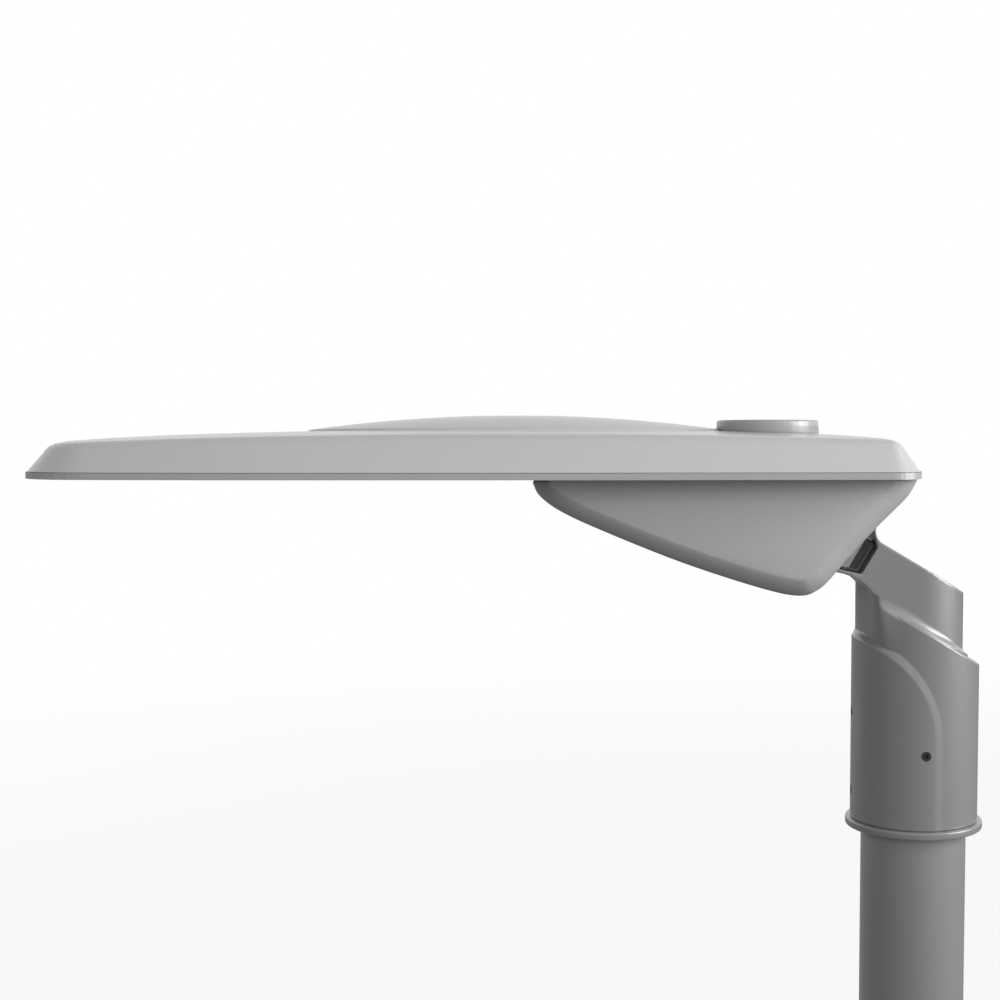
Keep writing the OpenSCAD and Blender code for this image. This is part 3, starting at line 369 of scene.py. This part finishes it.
def turned(bm, profile, steps, centre=(0, 0, 0), closed=True):
    # Spins an outline of (radius, height) about the Z axis; one that starts and ends on the axis isn't closed
    row = [bm.verts.new((r * mm, 0, z * mm)) for r, z in profile]
    edges = [bm.edges.new((a, b)) for a, b in zip(row, row[1:] + (row[:1] if closed else []))]
    bmesh.ops.spin(bm, geom=row + edges, cent=(0, 0, 0), axis=(0, 0, 1), dvec=(0, 0, 0),
                   angle=math.tau, steps=steps, use_merge=True)
    bmesh.ops.remove_doubles(bm, verts=bm.verts, dist=1e-6)
    bmesh.ops.recalc_face_normals(bm, faces=bm.faces)
    bmesh.ops.translate(bm, verts=bm.verts, vec=Vector(centre) * mm)
    return bm


head = {
    "nose": -627, "tail": -4, "width": 250, "widest": -428,
    "noseNarrow": 13.5, "tailNarrow": 19.8, "noseBow": 500, "tailBow": 392,
    "noseCorner": 55, "tailCorner": 22, "leastCorner": 4, "cornerPull": 0.55,
    "frontSteps": 8, "cornerSteps": 16, "sideSteps": 44,
}


def edgeY(x, d):
    if x < head["widest"]:
        drop = head["noseNarrow"] * ((head["widest"] - x) / (head["widest"] - head["nose"])) ** 2
    else:
        drop = head["tailNarrow"] * ((x - head["widest"]) / (head["tail"] - head["widest"])) ** 2
    return head["width"] / 2 - d - drop


def cornerPoints(d, atNose):
    way = 1 if atNose else -1
    r = max(head["noseCorner" if atNose else "tailCorner"] - d, head["leastCorner"])
    endX = head["nose"] + d if atNose else head["tail"] - d
    bow = head["noseBow" if atNose else "tailBow"]
    y0 = edgeY(endX + way * r, d) - r
    x0 = endX + way * y0 * y0 / (2 * bow)
    x1 = x0 + way * r
    fall = edgeY(x1 + 1, d) - edgeY(x1, d)
    k = head["cornerPull"]
    p = [(x0, y0), (x0 + way * k * r * y0 / bow, y0 + k * r),
         (x1 - way * k * r, edgeY(x1, d) - way * k * r * fall), (x1, edgeY(x1, d))]
    steps = head["cornerSteps"]
    curve = []
    for i in range(steps + 1):
        t = i / steps
        w = ((1 - t) ** 3, 3 * t * (1 - t) ** 2, 3 * t * t * (1 - t), t ** 3)
        curve.append(tuple(sum(w[j] * p[j][c] for j in range(4)) for c in (0, 1)))
    return curve


def halfOutline(d):
    nose, tail = cornerPoints(d, True), cornerPoints(d, False)
    steps = head["frontSteps"]
    line = []
    for i in range(steps):
        y = nose[0][1] * i / steps
        line.append((head["nose"] + d + y * y / (2 * head["noseBow"]), y))
    line += nose
    for i in range(1, head["sideSteps"]):
        x = nose[-1][0] + (tail[-1][0] - nose[-1][0]) * i / head["sideSteps"]
        line.append((x, edgeY(x, d)))
    line += tail[::-1]
    for i in range(steps - 1, -1, -1):
        y = tail[0][1] * i / steps
        line.append((head["tail"] - d - y * y / (2 * head["tailBow"]), y))
    return line


def bothHalves(line):
    return line + [(x, -y) for x, y in line[-2:0:-1]]


canopy = {
    "rim": 456.5, "skirtZ": 461.3, "skirtIn": 1.2, "height": 30.4,
    "crestX": -285, "crestHalf": 315, "fall": 6.6,
    "sideTopIn": 12, "sideSlope": 60.6, "shoulder": 12, "shoulderDrop": 6.1, "shoulderSteps": 9,
    "crownSlope": 5, "crownStart": 21.4, "crownRise": 3.2, "crownReach": 85,
    "crownInsets": (27, 32, 38, 45, 52, 58), "spineBlends": (0.2, 0.4, 0.6, 0.8, 0.95),
    "spineX": -292, "spineLength": 302, "spineWidth": 122, "spineHeight": 10, "spineLip": 1,
    "spineRings": (1.0, 0.99, 0.97, 0.94, 0.88, 0.8, 0.7, 0.58, 0.45, 0.32, 0.2),
    "wall": 3, "seatX": -109, "seatZ": 484.94, "seatRadius": 37.9, "holeRadius": 27, "seatSteps": 96,
}


def crest(x):
    c = canopy
    return c["rim"] + c["height"] - c["fall"] * ((x - c["crestX"]) / c["crestHalf"]) ** 2


def crown(x, y):
    inside = min(edgeY(x, 0) - abs(y), x - head["nose"], head["tail"] - x)
    share = max(0.0, min(1.0, (inside - canopy["crownStart"]) / canopy["crownReach"]))
    return crest(x) + canopy["crownRise"] * (1 - (1 - share) ** 2)


def makeCanopy():
    c = canopy
    slope = math.radians(c["sideSlope"])
    deep = c["sideTopIn"] + c["shoulder"] * math.sin(slope)
    drop = c["shoulderDrop"] + c["shoulder"] * math.cos(slope)
    bm = bmesh.new()
    ring = firstRing(bm, [(x, y, c["skirtZ"]) for x, y in bothHalves(halfOutline(c["skirtIn"]))])
    for i in range(c["shoulderSteps"] + 1):
        a = math.radians(c["sideSlope"] + (c["crownSlope"] - c["sideSlope"]) * i / c["shoulderSteps"])
        line = bothHalves(halfOutline(deep - c["shoulder"] * math.sin(a)))
        ring = growRing(bm, ring, [(x, y, crest(x) - drop + c["shoulder"] * math.cos(a)) for x, y in line])
    for d in c["crownInsets"]:
        outer = bothHalves(halfOutline(d))
        ring = growRing(bm, ring, [(x, y, crown(x, y)) for x, y in outer])
    steps = len(outer) // 2

    def spineLine(r):
        half = [(c["spineX"] - r * c["spineLength"] / 2 * math.cos(a), r * c["spineWidth"] / 2 * math.sin(a))
                for a in (math.pi * i / steps for i in range(steps + 1))]
        return bothHalves(half)

    inner = spineLine(1)
    for t in c["spineBlends"]:
        line = [(x + (u - x) * t, y + (v - y) * t) for (x, y), (u, v) in zip(outer, inner)]
        ring = growRing(bm, ring, [(x, y, crown(x, y)) for x, y in line])
    for r in c["spineRings"]:
        up = 0 if r == 1 else c["spineLip"] + (c["spineHeight"] - c["spineLip"]) * (1 - r * r)
        ring = growRing(bm, ring, [(x, y, crown(x, y) + up) for x, y in spineLine(r)])
    bmesh.ops.edgeloop_fill(bm, edges=ringEdges(bm, ring))
    faceOutwards(bm, (c["spineX"], 0, c["rim"]))
    thicken(bm, c["wall"], (head["nose"], -150, c["skirtZ"]), (head["tail"], 150, 520))
    piece = addPiece("canopyShell", bm, "canopy", 50)
    low, seat, high = c["seatZ"] - 20, c["seatZ"], c["seatZ"] + 30
    cutAway(piece, turned(bmesh.new(), [(0, low), (c["holeRadius"], low), (c["holeRadius"], seat),
                                        (c["seatRadius"], seat), (c["seatRadius"], high), (0, high)],
                          c["seatSteps"], (c["seatX"], 0, 0), closed=False))


makeCanopy()
print("canopy made")


gearCover = {
    "front": -275.7, "top": 456.2, "length": 263.5, "depth": 80.7, "width": 160, "wall": 3, "nose": 3.4,
    "edge": 14, "edgeForm": 1.5, "edgeAhead": 0.85, "edgeGrowth": 0.3, "topFall": 0.2, "noseFall": 0.4,
    "line": [(0.018, -0.149), (0.07, -0.276), (0.175, -0.437), (0.383, -0.71), (0.591, -0.932), (0.695, -1),
             (0.748, -0.939), (0.791, -0.796), (0.828, -0.651), (0.901, -0.395), (0.94, -0.268),
             (0.977, -0.14), (1, 0)],    # shares of the length and the depth
    "steps": 6, "turnSteps": 10, "noseTurns": (0, 30, 60),
    "slotWidth": 84, "slotX": -78, "slotZ": 383, "slotReach": 120, "slotRise": 100,
    "screwX": -93.9, "screwY": 62, "mouthRadius": 4, "mouthZ": 374.5, "mouthDepth": 3.6,
    "lugY": 40, "lugWidth": 12, "play": 0.5, "pinHole": 3.3, "pinRoom": 40, "lugAhead": 6, "lugRise": 10,
}


def gearLine():
    g = gearCover
    hingeX, hingeZ = g["front"] + g["nose"], g["top"] - g["nose"]
    knots = [(g["front"], hingeZ)]
    knots += [(g["front"] + u * g["length"], g["top"] + v * g["depth"]) for u, v in g["line"]]
    first = tuple(2 * a - b for a, b in zip(knots[0], knots[1]))
    last = (knots[-1][0], knots[-1][1] + 5)
    run = [first] + knots + [last]
    line = [(hingeX - g["nose"] * math.sin(math.radians(a)), hingeZ + g["nose"] * math.cos(math.radians(a)))
            for a in g["noseTurns"]]
    for i in range(1, len(run) - 2):
        a, b, c, d = run[i - 1:i + 3]
        for k in range(g["steps"]):
            t = k / g["steps"]
            line.append(tuple(0.5 * (2 * b[j] + (c[j] - a[j]) * t
                                     + (2 * a[j] - 5 * b[j] + 4 * c[j] - d[j]) * t * t
                                     + (3 * b[j] - a[j] - 3 * c[j] + d[j]) * t ** 3) for j in (0, 1)))
    return line + [knots[-1]]


def gearInset(line, i, e):
    # Point i of the side outline, drawn in square to it by e
    g = gearCover
    a, b = line[max(i - 1, 0)], line[min(i + 1, len(line) - 1)]
    size = math.hypot(b[0] - a[0], b[1] - a[1])
    x, z = line[i][0] - e * (b[1] - a[1]) / size, line[i][1] + e * (b[0] - a[0]) / size
    noseEnd, last = len(g["noseTurns"]), len(line) - 1
    if i <= noseEnd:
        return line[i][0] + e, line[i][1]
    if i == last:
        return x, g["top"]
    fall = min(g["topFall"] * (last - i), g["nose"] + g["noseFall"] * (i - noseEnd))
    return max(x, g["front"] + e), min(z, g["top"] - fall)


def makeGearCover():
    g = gearCover
    line = gearLine()
    n = len(line)
    half = g["width"] / 2

    def section(side, turn):
        t = math.radians(90 * turn)
        row = []
        for i in range(n):
            size = g["edgeAhead"] + g["edgeGrowth"] * (i / n) ** 2
            e = g["edge"] * (1 - math.cos(t) ** g["edgeForm"]) * size
            x, z = gearInset(line, i, e)
            row.append((x, side * (half - g["edge"] + g["edge"] * math.sin(t) ** g["edgeForm"]), z))
        return row

    bm = bmesh.new()
    turns = [k / g["turnSteps"] for k in range(g["turnSteps"] + 1)]
    rows = [section(-1, t) for t in turns[::-1]] + [section(1, t) for t in turns]
    row = [bm.verts.new(Vector(p) * mm) for p in rows[0]]
    for a, b in zip(row, row[1:]):
        bm.edges.new((a, b))
    sideRows = [row]
    for places in rows[1:]:
        row = growRing(bm, row, places)
    sideRows.append(row)
    for ends in sideRows:    # the flat sides, closed along the top
        top = bm.edges.new((ends[0], ends[-1]))
        edges = [bm.edges.get((a, b)) for a, b in zip(ends, ends[1:])] + [top]
        bmesh.ops.contextual_create(bm, geom=edges)
    faceOutwards(bm, (g["front"] + g["length"] / 2, 0, g["top"] - g["depth"] / 4))
    thicken(bm, g["wall"], (g["front"] + 2 * g["nose"], g["wall"] - half, g["top"] - g["depth"]),
            (0, half - g["wall"], g["top"]))
    piece = addPiece("gearCoverShell", bm, "gear_cover", 35)
    slot, pins, lugs = bmesh.new(), bmesh.new(), bmesh.new()
    addBlock(slot, (g["slotX"], -g["slotWidth"] / 2, g["slotZ"]),
             (g["slotX"] + g["slotReach"], g["slotWidth"] / 2, g["slotZ"] + g["slotRise"]))
    hinge = Vector((g["front"] + g["nose"], 0, g["top"] - g["nose"]))
    lugHalf = Vector((0, g["lugWidth"] / 2 + g["play"], 0))
    for side in (-1, 1):
        bmesh.ops.create_cone(slot, cap_ends=True, segments=32, radius1=g["mouthRadius"] * mm,
                              radius2=g["mouthRadius"] * mm, depth=g["mouthDepth"] * mm,
                              matrix=Matrix.Translation(Vector((g["screwX"], side * g["screwY"],
                                                                g["mouthZ"] + g["mouthDepth"] / 2)) * mm))
        middle = hinge + Vector((0, side * g["lugY"], 0))
        bmesh.ops.create_cone(pins, cap_ends=True, segments=48, radius1=g["pinHole"] / 2 * mm,
                              radius2=g["pinHole"] / 2 * mm, depth=g["pinRoom"] * mm,
                              matrix=Matrix.Translation(middle * mm) @ Matrix.Rotation(math.pi / 2, 4, "X"))
        room = g["nose"] + g["play"]
        addBlock(lugs, middle - lugHalf - Vector((g["lugAhead"], 0, room)),
                 middle + lugHalf + Vector((room, 0, g["lugRise"])))
    for cutter in (slot, pins, lugs):
        cutAway(piece, cutter)


makeGearCover()
print("gear cover made")


def roundCorner(r, z, size, fromAngle, steps=4):
    # Points of a rounded corner about (r, z), a quarter turn from fromAngle
    return [(r + size * math.cos(math.radians(fromAngle + 90 * i / steps)),
             z + size * math.sin(math.radians(fromAngle + 90 * i / steps))) for i in range(steps + 1)]


pole = {"radius": 38, "bore": 35, "height": 316, "edge": 0.6}
collar = {"radius": 49.5, "bore": 38.3, "low": 200, "high": 205.5, "edge": 1.2}
cap = {"x": -109, "z": 485.24, "radius": 37.2, "height": 11.4, "edge": 1.8, "wall": 2.2,
       "draft": 0.3, "edgeSteps": 6}


def makePole():
    p = pole
    edge = p["edge"]
    profile = [(p["bore"], 0), (p["bore"], p["height"])]
    profile += roundCorner(p["radius"] - edge, p["height"] - edge, edge, 0)[::-1]
    profile += roundCorner(p["radius"] - edge, edge, edge, -90)[::-1]
    addPiece("poleTube", turned(bmesh.new(), profile, 160), "pole", 50)


def makeCollar():
    c = collar
    edge = c["edge"]
    profile = [(c["bore"], c["low"]), (c["bore"], c["high"])]
    profile += roundCorner(c["radius"] - edge, c["high"] - edge, edge, 0)[::-1]
    profile += roundCorner(c["radius"] - edge, c["low"] + edge, edge, -90)[::-1]
    addPiece("collarRing", turned(bmesh.new(), profile, 160), "collar_ring", 50)


def makeCap():
    c = cap
    edge, draft, inner = c["edge"], c["draft"], c["radius"] - c["wall"]
    top = c["height"]
    profile = [(0, top)]
    profile += roundCorner(c["radius"] - edge - draft, top - edge, edge, 0, c["edgeSteps"])[::-1]
    profile += [(c["radius"], draft), (c["radius"] - draft, 0), (inner, 0)]
    profile += [(inner, top - c["wall"]), (0, top - c["wall"])]
    bm = turned(bmesh.new(), profile, 128, (c["x"], 0, c["z"]), closed=False)
    addPiece("controlCap", bm, "control_cap", 50)


makePole()
makeCollar()
makeCap()
print("pole, collar and cap made")


sleeve = {
    "radius": 44.7, "shift": 1.3, "bore": 38.3, "boreTop": 317, "low": 205.5, "edge": 1.0,
    "panelRadius": 46, "panelEdge": 10, "panelStraight": 268.5, "panelArc": 77, "panelBevel": 4.4,
    "ledge": 346.6, "slope": 30.6, "ledgeRings": (40, 34, 20), "around": 360, "up": 180,
    # height, and the way that the screw faces in x and y
    "screws": ((225.5, -1, 0), (283.5, -1, 0), (259.5, 0, -1), (259.5, 0, 1)),
    "screwRadius": 3.5, "screwFrom": 41, "screwTo": 53,
}
arm = {
    "half": 35.8, "rearX": -2, "cornerX": -33.5, "tangent": 158, "cut": 4.2,
    "cove": 7.2, "coveFall": 0.1, "coveSteps": 9, "soft": 1.2, "sunk": 0.3, "passes": 40,
    "blend": 45, "footSteps": (-1, -0.85, -0.7, -0.55, -0.4, -0.28, -0.16, -0.06),
    "shelf": 2.8, "shelfX": -39, "shelfRun": 10, "frontSteps": 16, "sideSteps": 30,
    "voxel": 0.7, "smooth": 5, "keep": 0.4,
}


def ledgeHeight(x):
    return sleeve["ledge"] - math.tan(math.radians(sleeve["slope"])) * x


def panelShare(x, z):    # 1 on the raised panel, 0 off it, and between on its bevel
    s = sleeve
    if z < s["panelStraight"]:
        inside = s["panelEdge"] - x
    else:
        inside = s["panelArc"] - math.hypot(x - s["panelEdge"] + s["panelArc"], z - s["panelStraight"])
    return max(0.0, min(1.0, inside / s["panelBevel"] + 0.5))


def makeSleeve():
    s = sleeve
    angles = [math.tau * j / s["around"] for j in range(s["around"])]

    def outside(a, z, inset=0):
        x, y = s["shift"] + (s["radius"] - inset) * math.cos(a), (s["radius"] - inset) * math.sin(a)
        share = panelShare(x, z)
        r = s["panelRadius"] - inset
        return x + (r * math.cos(a) - x) * share, y + (r * math.sin(a) - y) * share, z

    def level(share, inset=0, drop=0.0):
        row = []
        for a in angles:
            top = ledgeHeight(s["shift"] + s["radius"] * math.cos(a)) - s["edge"]
            row.append(outside(a, s["low"] + s["edge"] + (top - s["low"] - s["edge"]) * share + drop, inset))
        return row

    def flat(r, z):
        return [(r * math.cos(a), r * math.sin(a), z) for a in angles]

    chamfer = 0.3 * s["edge"]
    bm = bmesh.new()
    ring = start = firstRing(bm, flat(s["bore"], s["low"]))
    ring = growRing(bm, ring, level(0, s["edge"], -s["edge"]))
    ring = growRing(bm, ring, level(0, chamfer, chamfer - s["edge"]))
    for k in range(s["up"] + 1):
        ring = growRing(bm, ring, level(k / s["up"]))
    ring = growRing(bm, ring, level(1, chamfer, s["edge"] - chamfer))
    for r in (s["radius"] - s["edge"], *s["ledgeRings"]):
        ring = growRing(bm, ring, [(s["shift"] + r * math.cos(a), r * math.sin(a),
                                    ledgeHeight(s["shift"] + r * math.cos(a))) for a in angles])
    ring = growRing(bm, ring, flat(s["ledgeRings"][-1], s["boreTop"]))
    ring = growRing(bm, ring, flat(s["bore"], s["boreTop"]))
    bmesh.ops.bridge_loops(bm, edges=ringEdges(bm, ring) + ringEdges(bm, start))
    bmesh.ops.recalc_face_normals(bm, faces=bm.faces)
    piece = addPiece("sleeveCasting", bm, "adaptor", 60)
    holes = bmesh.new()
    depth, middle = s["screwTo"] - s["screwFrom"], (s["screwTo"] + s["screwFrom"]) / 2
    for z, x, y in s["screws"]:
        turn = Vector((x, y, 0)).to_track_quat("Z", "Y").to_matrix().to_4x4()
        bmesh.ops.create_cone(holes, cap_ends=True, segments=40, radius1=s["screwRadius"] * mm,
                              radius2=s["screwRadius"] * mm, depth=depth * mm,
                              matrix=Matrix.Translation(Vector((x * middle, y * middle, z)) * mm) @ turn)
    cutAway(piece, holes)


def coveSize(x):    # the cove is smaller towards the rear
    return arm["cove"] - arm["coveFall"] * x


def neckOutline():
    # Points round the arm's foot, each with a mark for the cove: the front follows the sleeve and runs straight
    # on to the arm's side, and then come the side and the rear
    a, s = arm, sleeve
    front, sides = a["frontSteps"], a["sideSteps"]
    half = []
    for j in range(front):
        turn = math.radians(180 - (180 - a["tangent"]) * j / front)
        half.append((s["shift"] + (s["radius"] - a["soft"]) * math.cos(turn),
                     (s["radius"] - a["soft"]) * math.sin(turn), False))
    endX, endY = half[-1][:2]
    for share in (j / (front + 1) for j in range(1, front + 1)):
        half.append((endX + (a["cornerX"] - endX) * share, endY + (a["half"] - endY) * share, False))
    half += [(a["cornerX"] + (a["rearX"] - a["cornerX"]) * j / sides, a["half"], True) for j in range(sides)]
    for j in range(sides + 1):
        turn = math.pi / 2 * j / sides
        half.append((a["rearX"] + a["half"] * math.sin(turn), a["half"] * math.cos(turn), True))
    return half + [(x, -y, coved) for x, y, coved in half[-2:0:-1]]


def easy(share):
    share = max(0.0, min(1.0, share))
    return share * share * (3 - 2 * share)


def neckSwells():
    # How far the foot stands out of the sleeve at each of those points, smoothed along the ring
    swells = []
    for x, y, coved in neckOutline():
        shelf = arm["shelf"] * easy((x - arm["shelfX"]) / arm["shelfRun"])
        over = math.hypot(x - sleeve["shift"], y) + shelf - sleeve["radius"]
        swells.append(arm["soft"] * math.log(1 + math.exp(over / arm["soft"])))
    for again in range(arm["passes"]):
        before, after = swells[-1:] + swells[:-1], swells[1:] + swells[:1]
        swells = [(a + 2 * b + c) / 4 for a, b, c in zip(before, swells, after)]
    return swells


def makeArm():
    # The CAD arm above the sloping ledge, with a cove where the two meet and every edge softened
    bm = bmesh.new()
    bm.from_mesh(nodes["adaptor"].data)
    bmesh.ops.remove_doubles(bm, verts=bm.verts, dist=0.01 * mm)
    piece = addPiece("armCasting", bm, "adaptor", 180)
    under = bmesh.new()    # a block under a plane that lies a little over the ledge
    block = 0.3
    slope = math.radians(sleeve["slope"])
    up = Vector((math.sin(slope), 0, math.cos(slope)))
    middle = Vector((0, 0, sleeve["ledge"] * mm)) - (block / 2 - arm["cut"] * mm) * up
    bmesh.ops.create_cube(under, size=block,
                          matrix=Matrix.Translation(middle) @ Matrix.Rotation(slope, 4, "Y"))
    cutAway(piece, under)
    bm = bmesh.new()
    bm.from_mesh(piece.data)
    swells = neckSwells()
    ring = None
    for step in arm["footSteps"] + tuple(k / arm["coveSteps"] for k in range(arm["coveSteps"] + 1)):
        # Under the ledge the foot's swelling dies out in the sleeve, and over it the cove narrows
        places = []
        for (x, y, coved), swell in zip(neckOutline(), swells):
            far = math.hypot(x - sleeve["shift"], y)
            edge = sleeve["radius"] - arm["sunk"] + swell * (easy(1 + step) if step < 0 else 1)
            rise = step * (coveSize(x) / math.cos(slope) if step > 0 else arm["blend"])
            grow = edge / far - 1
            if coved:
                grow = min(grow, coveSize(x) / far)
                if step > 0:
                    grow *= 1 - math.sqrt(1 - (1 - step) ** 2)
            places.append((x + (x - sleeve["shift"]) * grow, y + y * grow, ledgeHeight(x) + rise))
        if ring:
            ring = growRing(bm, ring, places)
        else:
            ring = firstRing(bm, places)
            bmesh.ops.edgeloop_fill(bm, edges=ringEdges(bm, ring))
    bmesh.ops.edgeloop_fill(bm, edges=ringEdges(bm, ring))
    bm.to_mesh(piece.data)
    bm.free()
    fill = piece.modifiers.new("fill", "REMESH")
    fill.mode = "VOXEL"
    fill.voxel_size = arm["voxel"] * mm
    fill.use_smooth_shade = True
    soften = piece.modifiers.new("soften", "SMOOTH")
    soften.factor = 0.5
    soften.iterations = arm["smooth"]
    thin = piece.modifiers.new("thin", "DECIMATE")
    thin.ratio = arm["keep"]
    keepShape(piece)
    print("arm triangles", sum(len(f.vertices) - 2 for f in piece.data.polygons))


makeSleeve()
makeArm()
print("adaptor made")


light = {
    "ambient": 0.08, "backdropShine": 0.9, "floorShine": 0.18,
    "floorSize": 12, "floorTone": 0.11, "nearGlow": 0.93, "fadeFrom": 0.8, "fadeTo": 2.5,
    # The reflections of these would glare on the top and the neck
    "unseen": ("back", "leftRim", "front", "rightFront"),
    "lamps": {
        # name: (place, aimed at, width, height, watts)
        "right": ((2.1, -0.9, 1.05), (0, 0, 0.35), 1.4, 1.6, 38),
        "rightSide": ((2.2, -0.2, 1.05), (0, 0, 0.35), 1.2, 1.6, 30),
        "rightFront": ((1.4, -1.7, 1.1), (0, 0, 0.35), 1.0, 1.6, 22),
        "front": ((-0.5, -2.6, 1.0), (-0.2, 0, 0.42), 1.6, 1.2, 33),
        "back": ((-0.4, 2.7, 1.0), (-0.2, 0, 0.4), 1.6, 1.2, 26),
        "leftRim": ((-1.25, 1.1, 0.4), (0, 0, 0.25), 0.6, 1.4, 16),
    },
}


def makeStage():
    bm = bmesh.new()
    bmesh.ops.create_grid(bm, x_segments=1, y_segments=1, size=light["floorSize"])
    mesh = bpy.data.meshes.new("floor")
    bm.to_mesh(mesh)
    bm.free()
    floor = bpy.data.objects.new("floor", mesh)
    bpy.context.scene.collection.objects.link(floor)
    ground = Coat(bpy.data.materials.new("floorPaint"))
    path = ground.add("ShaderNodeLightPath", output="Is Camera Ray")
    shine = ground.add("ShaderNodeLightPath", output="Is Glossy Ray")
    through = ground.add("ShaderNodeLightPath", output="Is Transmission Ray")
    paper = ground.add("ShaderNodeBsdfDiffuse", None, {"Color": (light["floorTone"],) * 3 + (1,)})
    glow = ground.add("ShaderNodeEmission", None, {"Color": (1, 1, 1, 1), "Strength": 1.0})
    away = ground.add("ShaderNodeVectorMath", {"operation": "LENGTH"}, {0: ground.place()}, "Value")
    near = light["nearGlow"]
    white = near + away.above(light["fadeFrom"], light["fadeTo"]) * (1 - near)
    share = (path + through) * white + shine * light["floorShine"]
    mesh.materials.append(ground.show(ground.add("ShaderNodeMixShader", None, {0: share, 1: paper, 2: glow})))


def makeWorld():
    sky = Coat(bpy.data.worlds.new("world"), "ShaderNodeOutputWorld")
    path = sky.add("ShaderNodeLightPath", output="Is Camera Ray")
    shine = sky.add("ShaderNodeLightPath", output="Is Glossy Ray")
    through = sky.add("ShaderNodeLightPath", output="Is Transmission Ray")
    dim, bright, white = (sky.add("ShaderNodeBackground", None, {"Color": (1, 1, 1, 1), "Strength": strength})
                          for strength in (light["ambient"], light["backdropShine"], 1.0))
    lit = sky.add("ShaderNodeMixShader", None, {0: shine, 1: dim, 2: bright})
    bpy.context.scene.world = sky.show(sky.add("ShaderNodeMixShader", None,
                                               {0: path + through, 1: lit, 2: white}))


def makeLamps():
    for name, (place, aim, width, height, watts) in light["lamps"].items():
        data = bpy.data.lights.new(name, "AREA")
        data.shape = "RECTANGLE"
        data.size, data.size_y = width, height
        data.energy = watts
        item = bpy.data.objects.new(name, data)
        item.location = place
        item.rotation_euler = (Vector(aim) - Vector(place)).to_track_quat("-Z", "Y").to_euler()
        item.visible_glossy = name not in light["unseen"]
        bpy.context.scene.collection.objects.link(item)


makeStage()
makeWorld()
makeLamps()
bpy.context.scene.view_settings.view_transform = "Standard"
print("stage and lamps made")
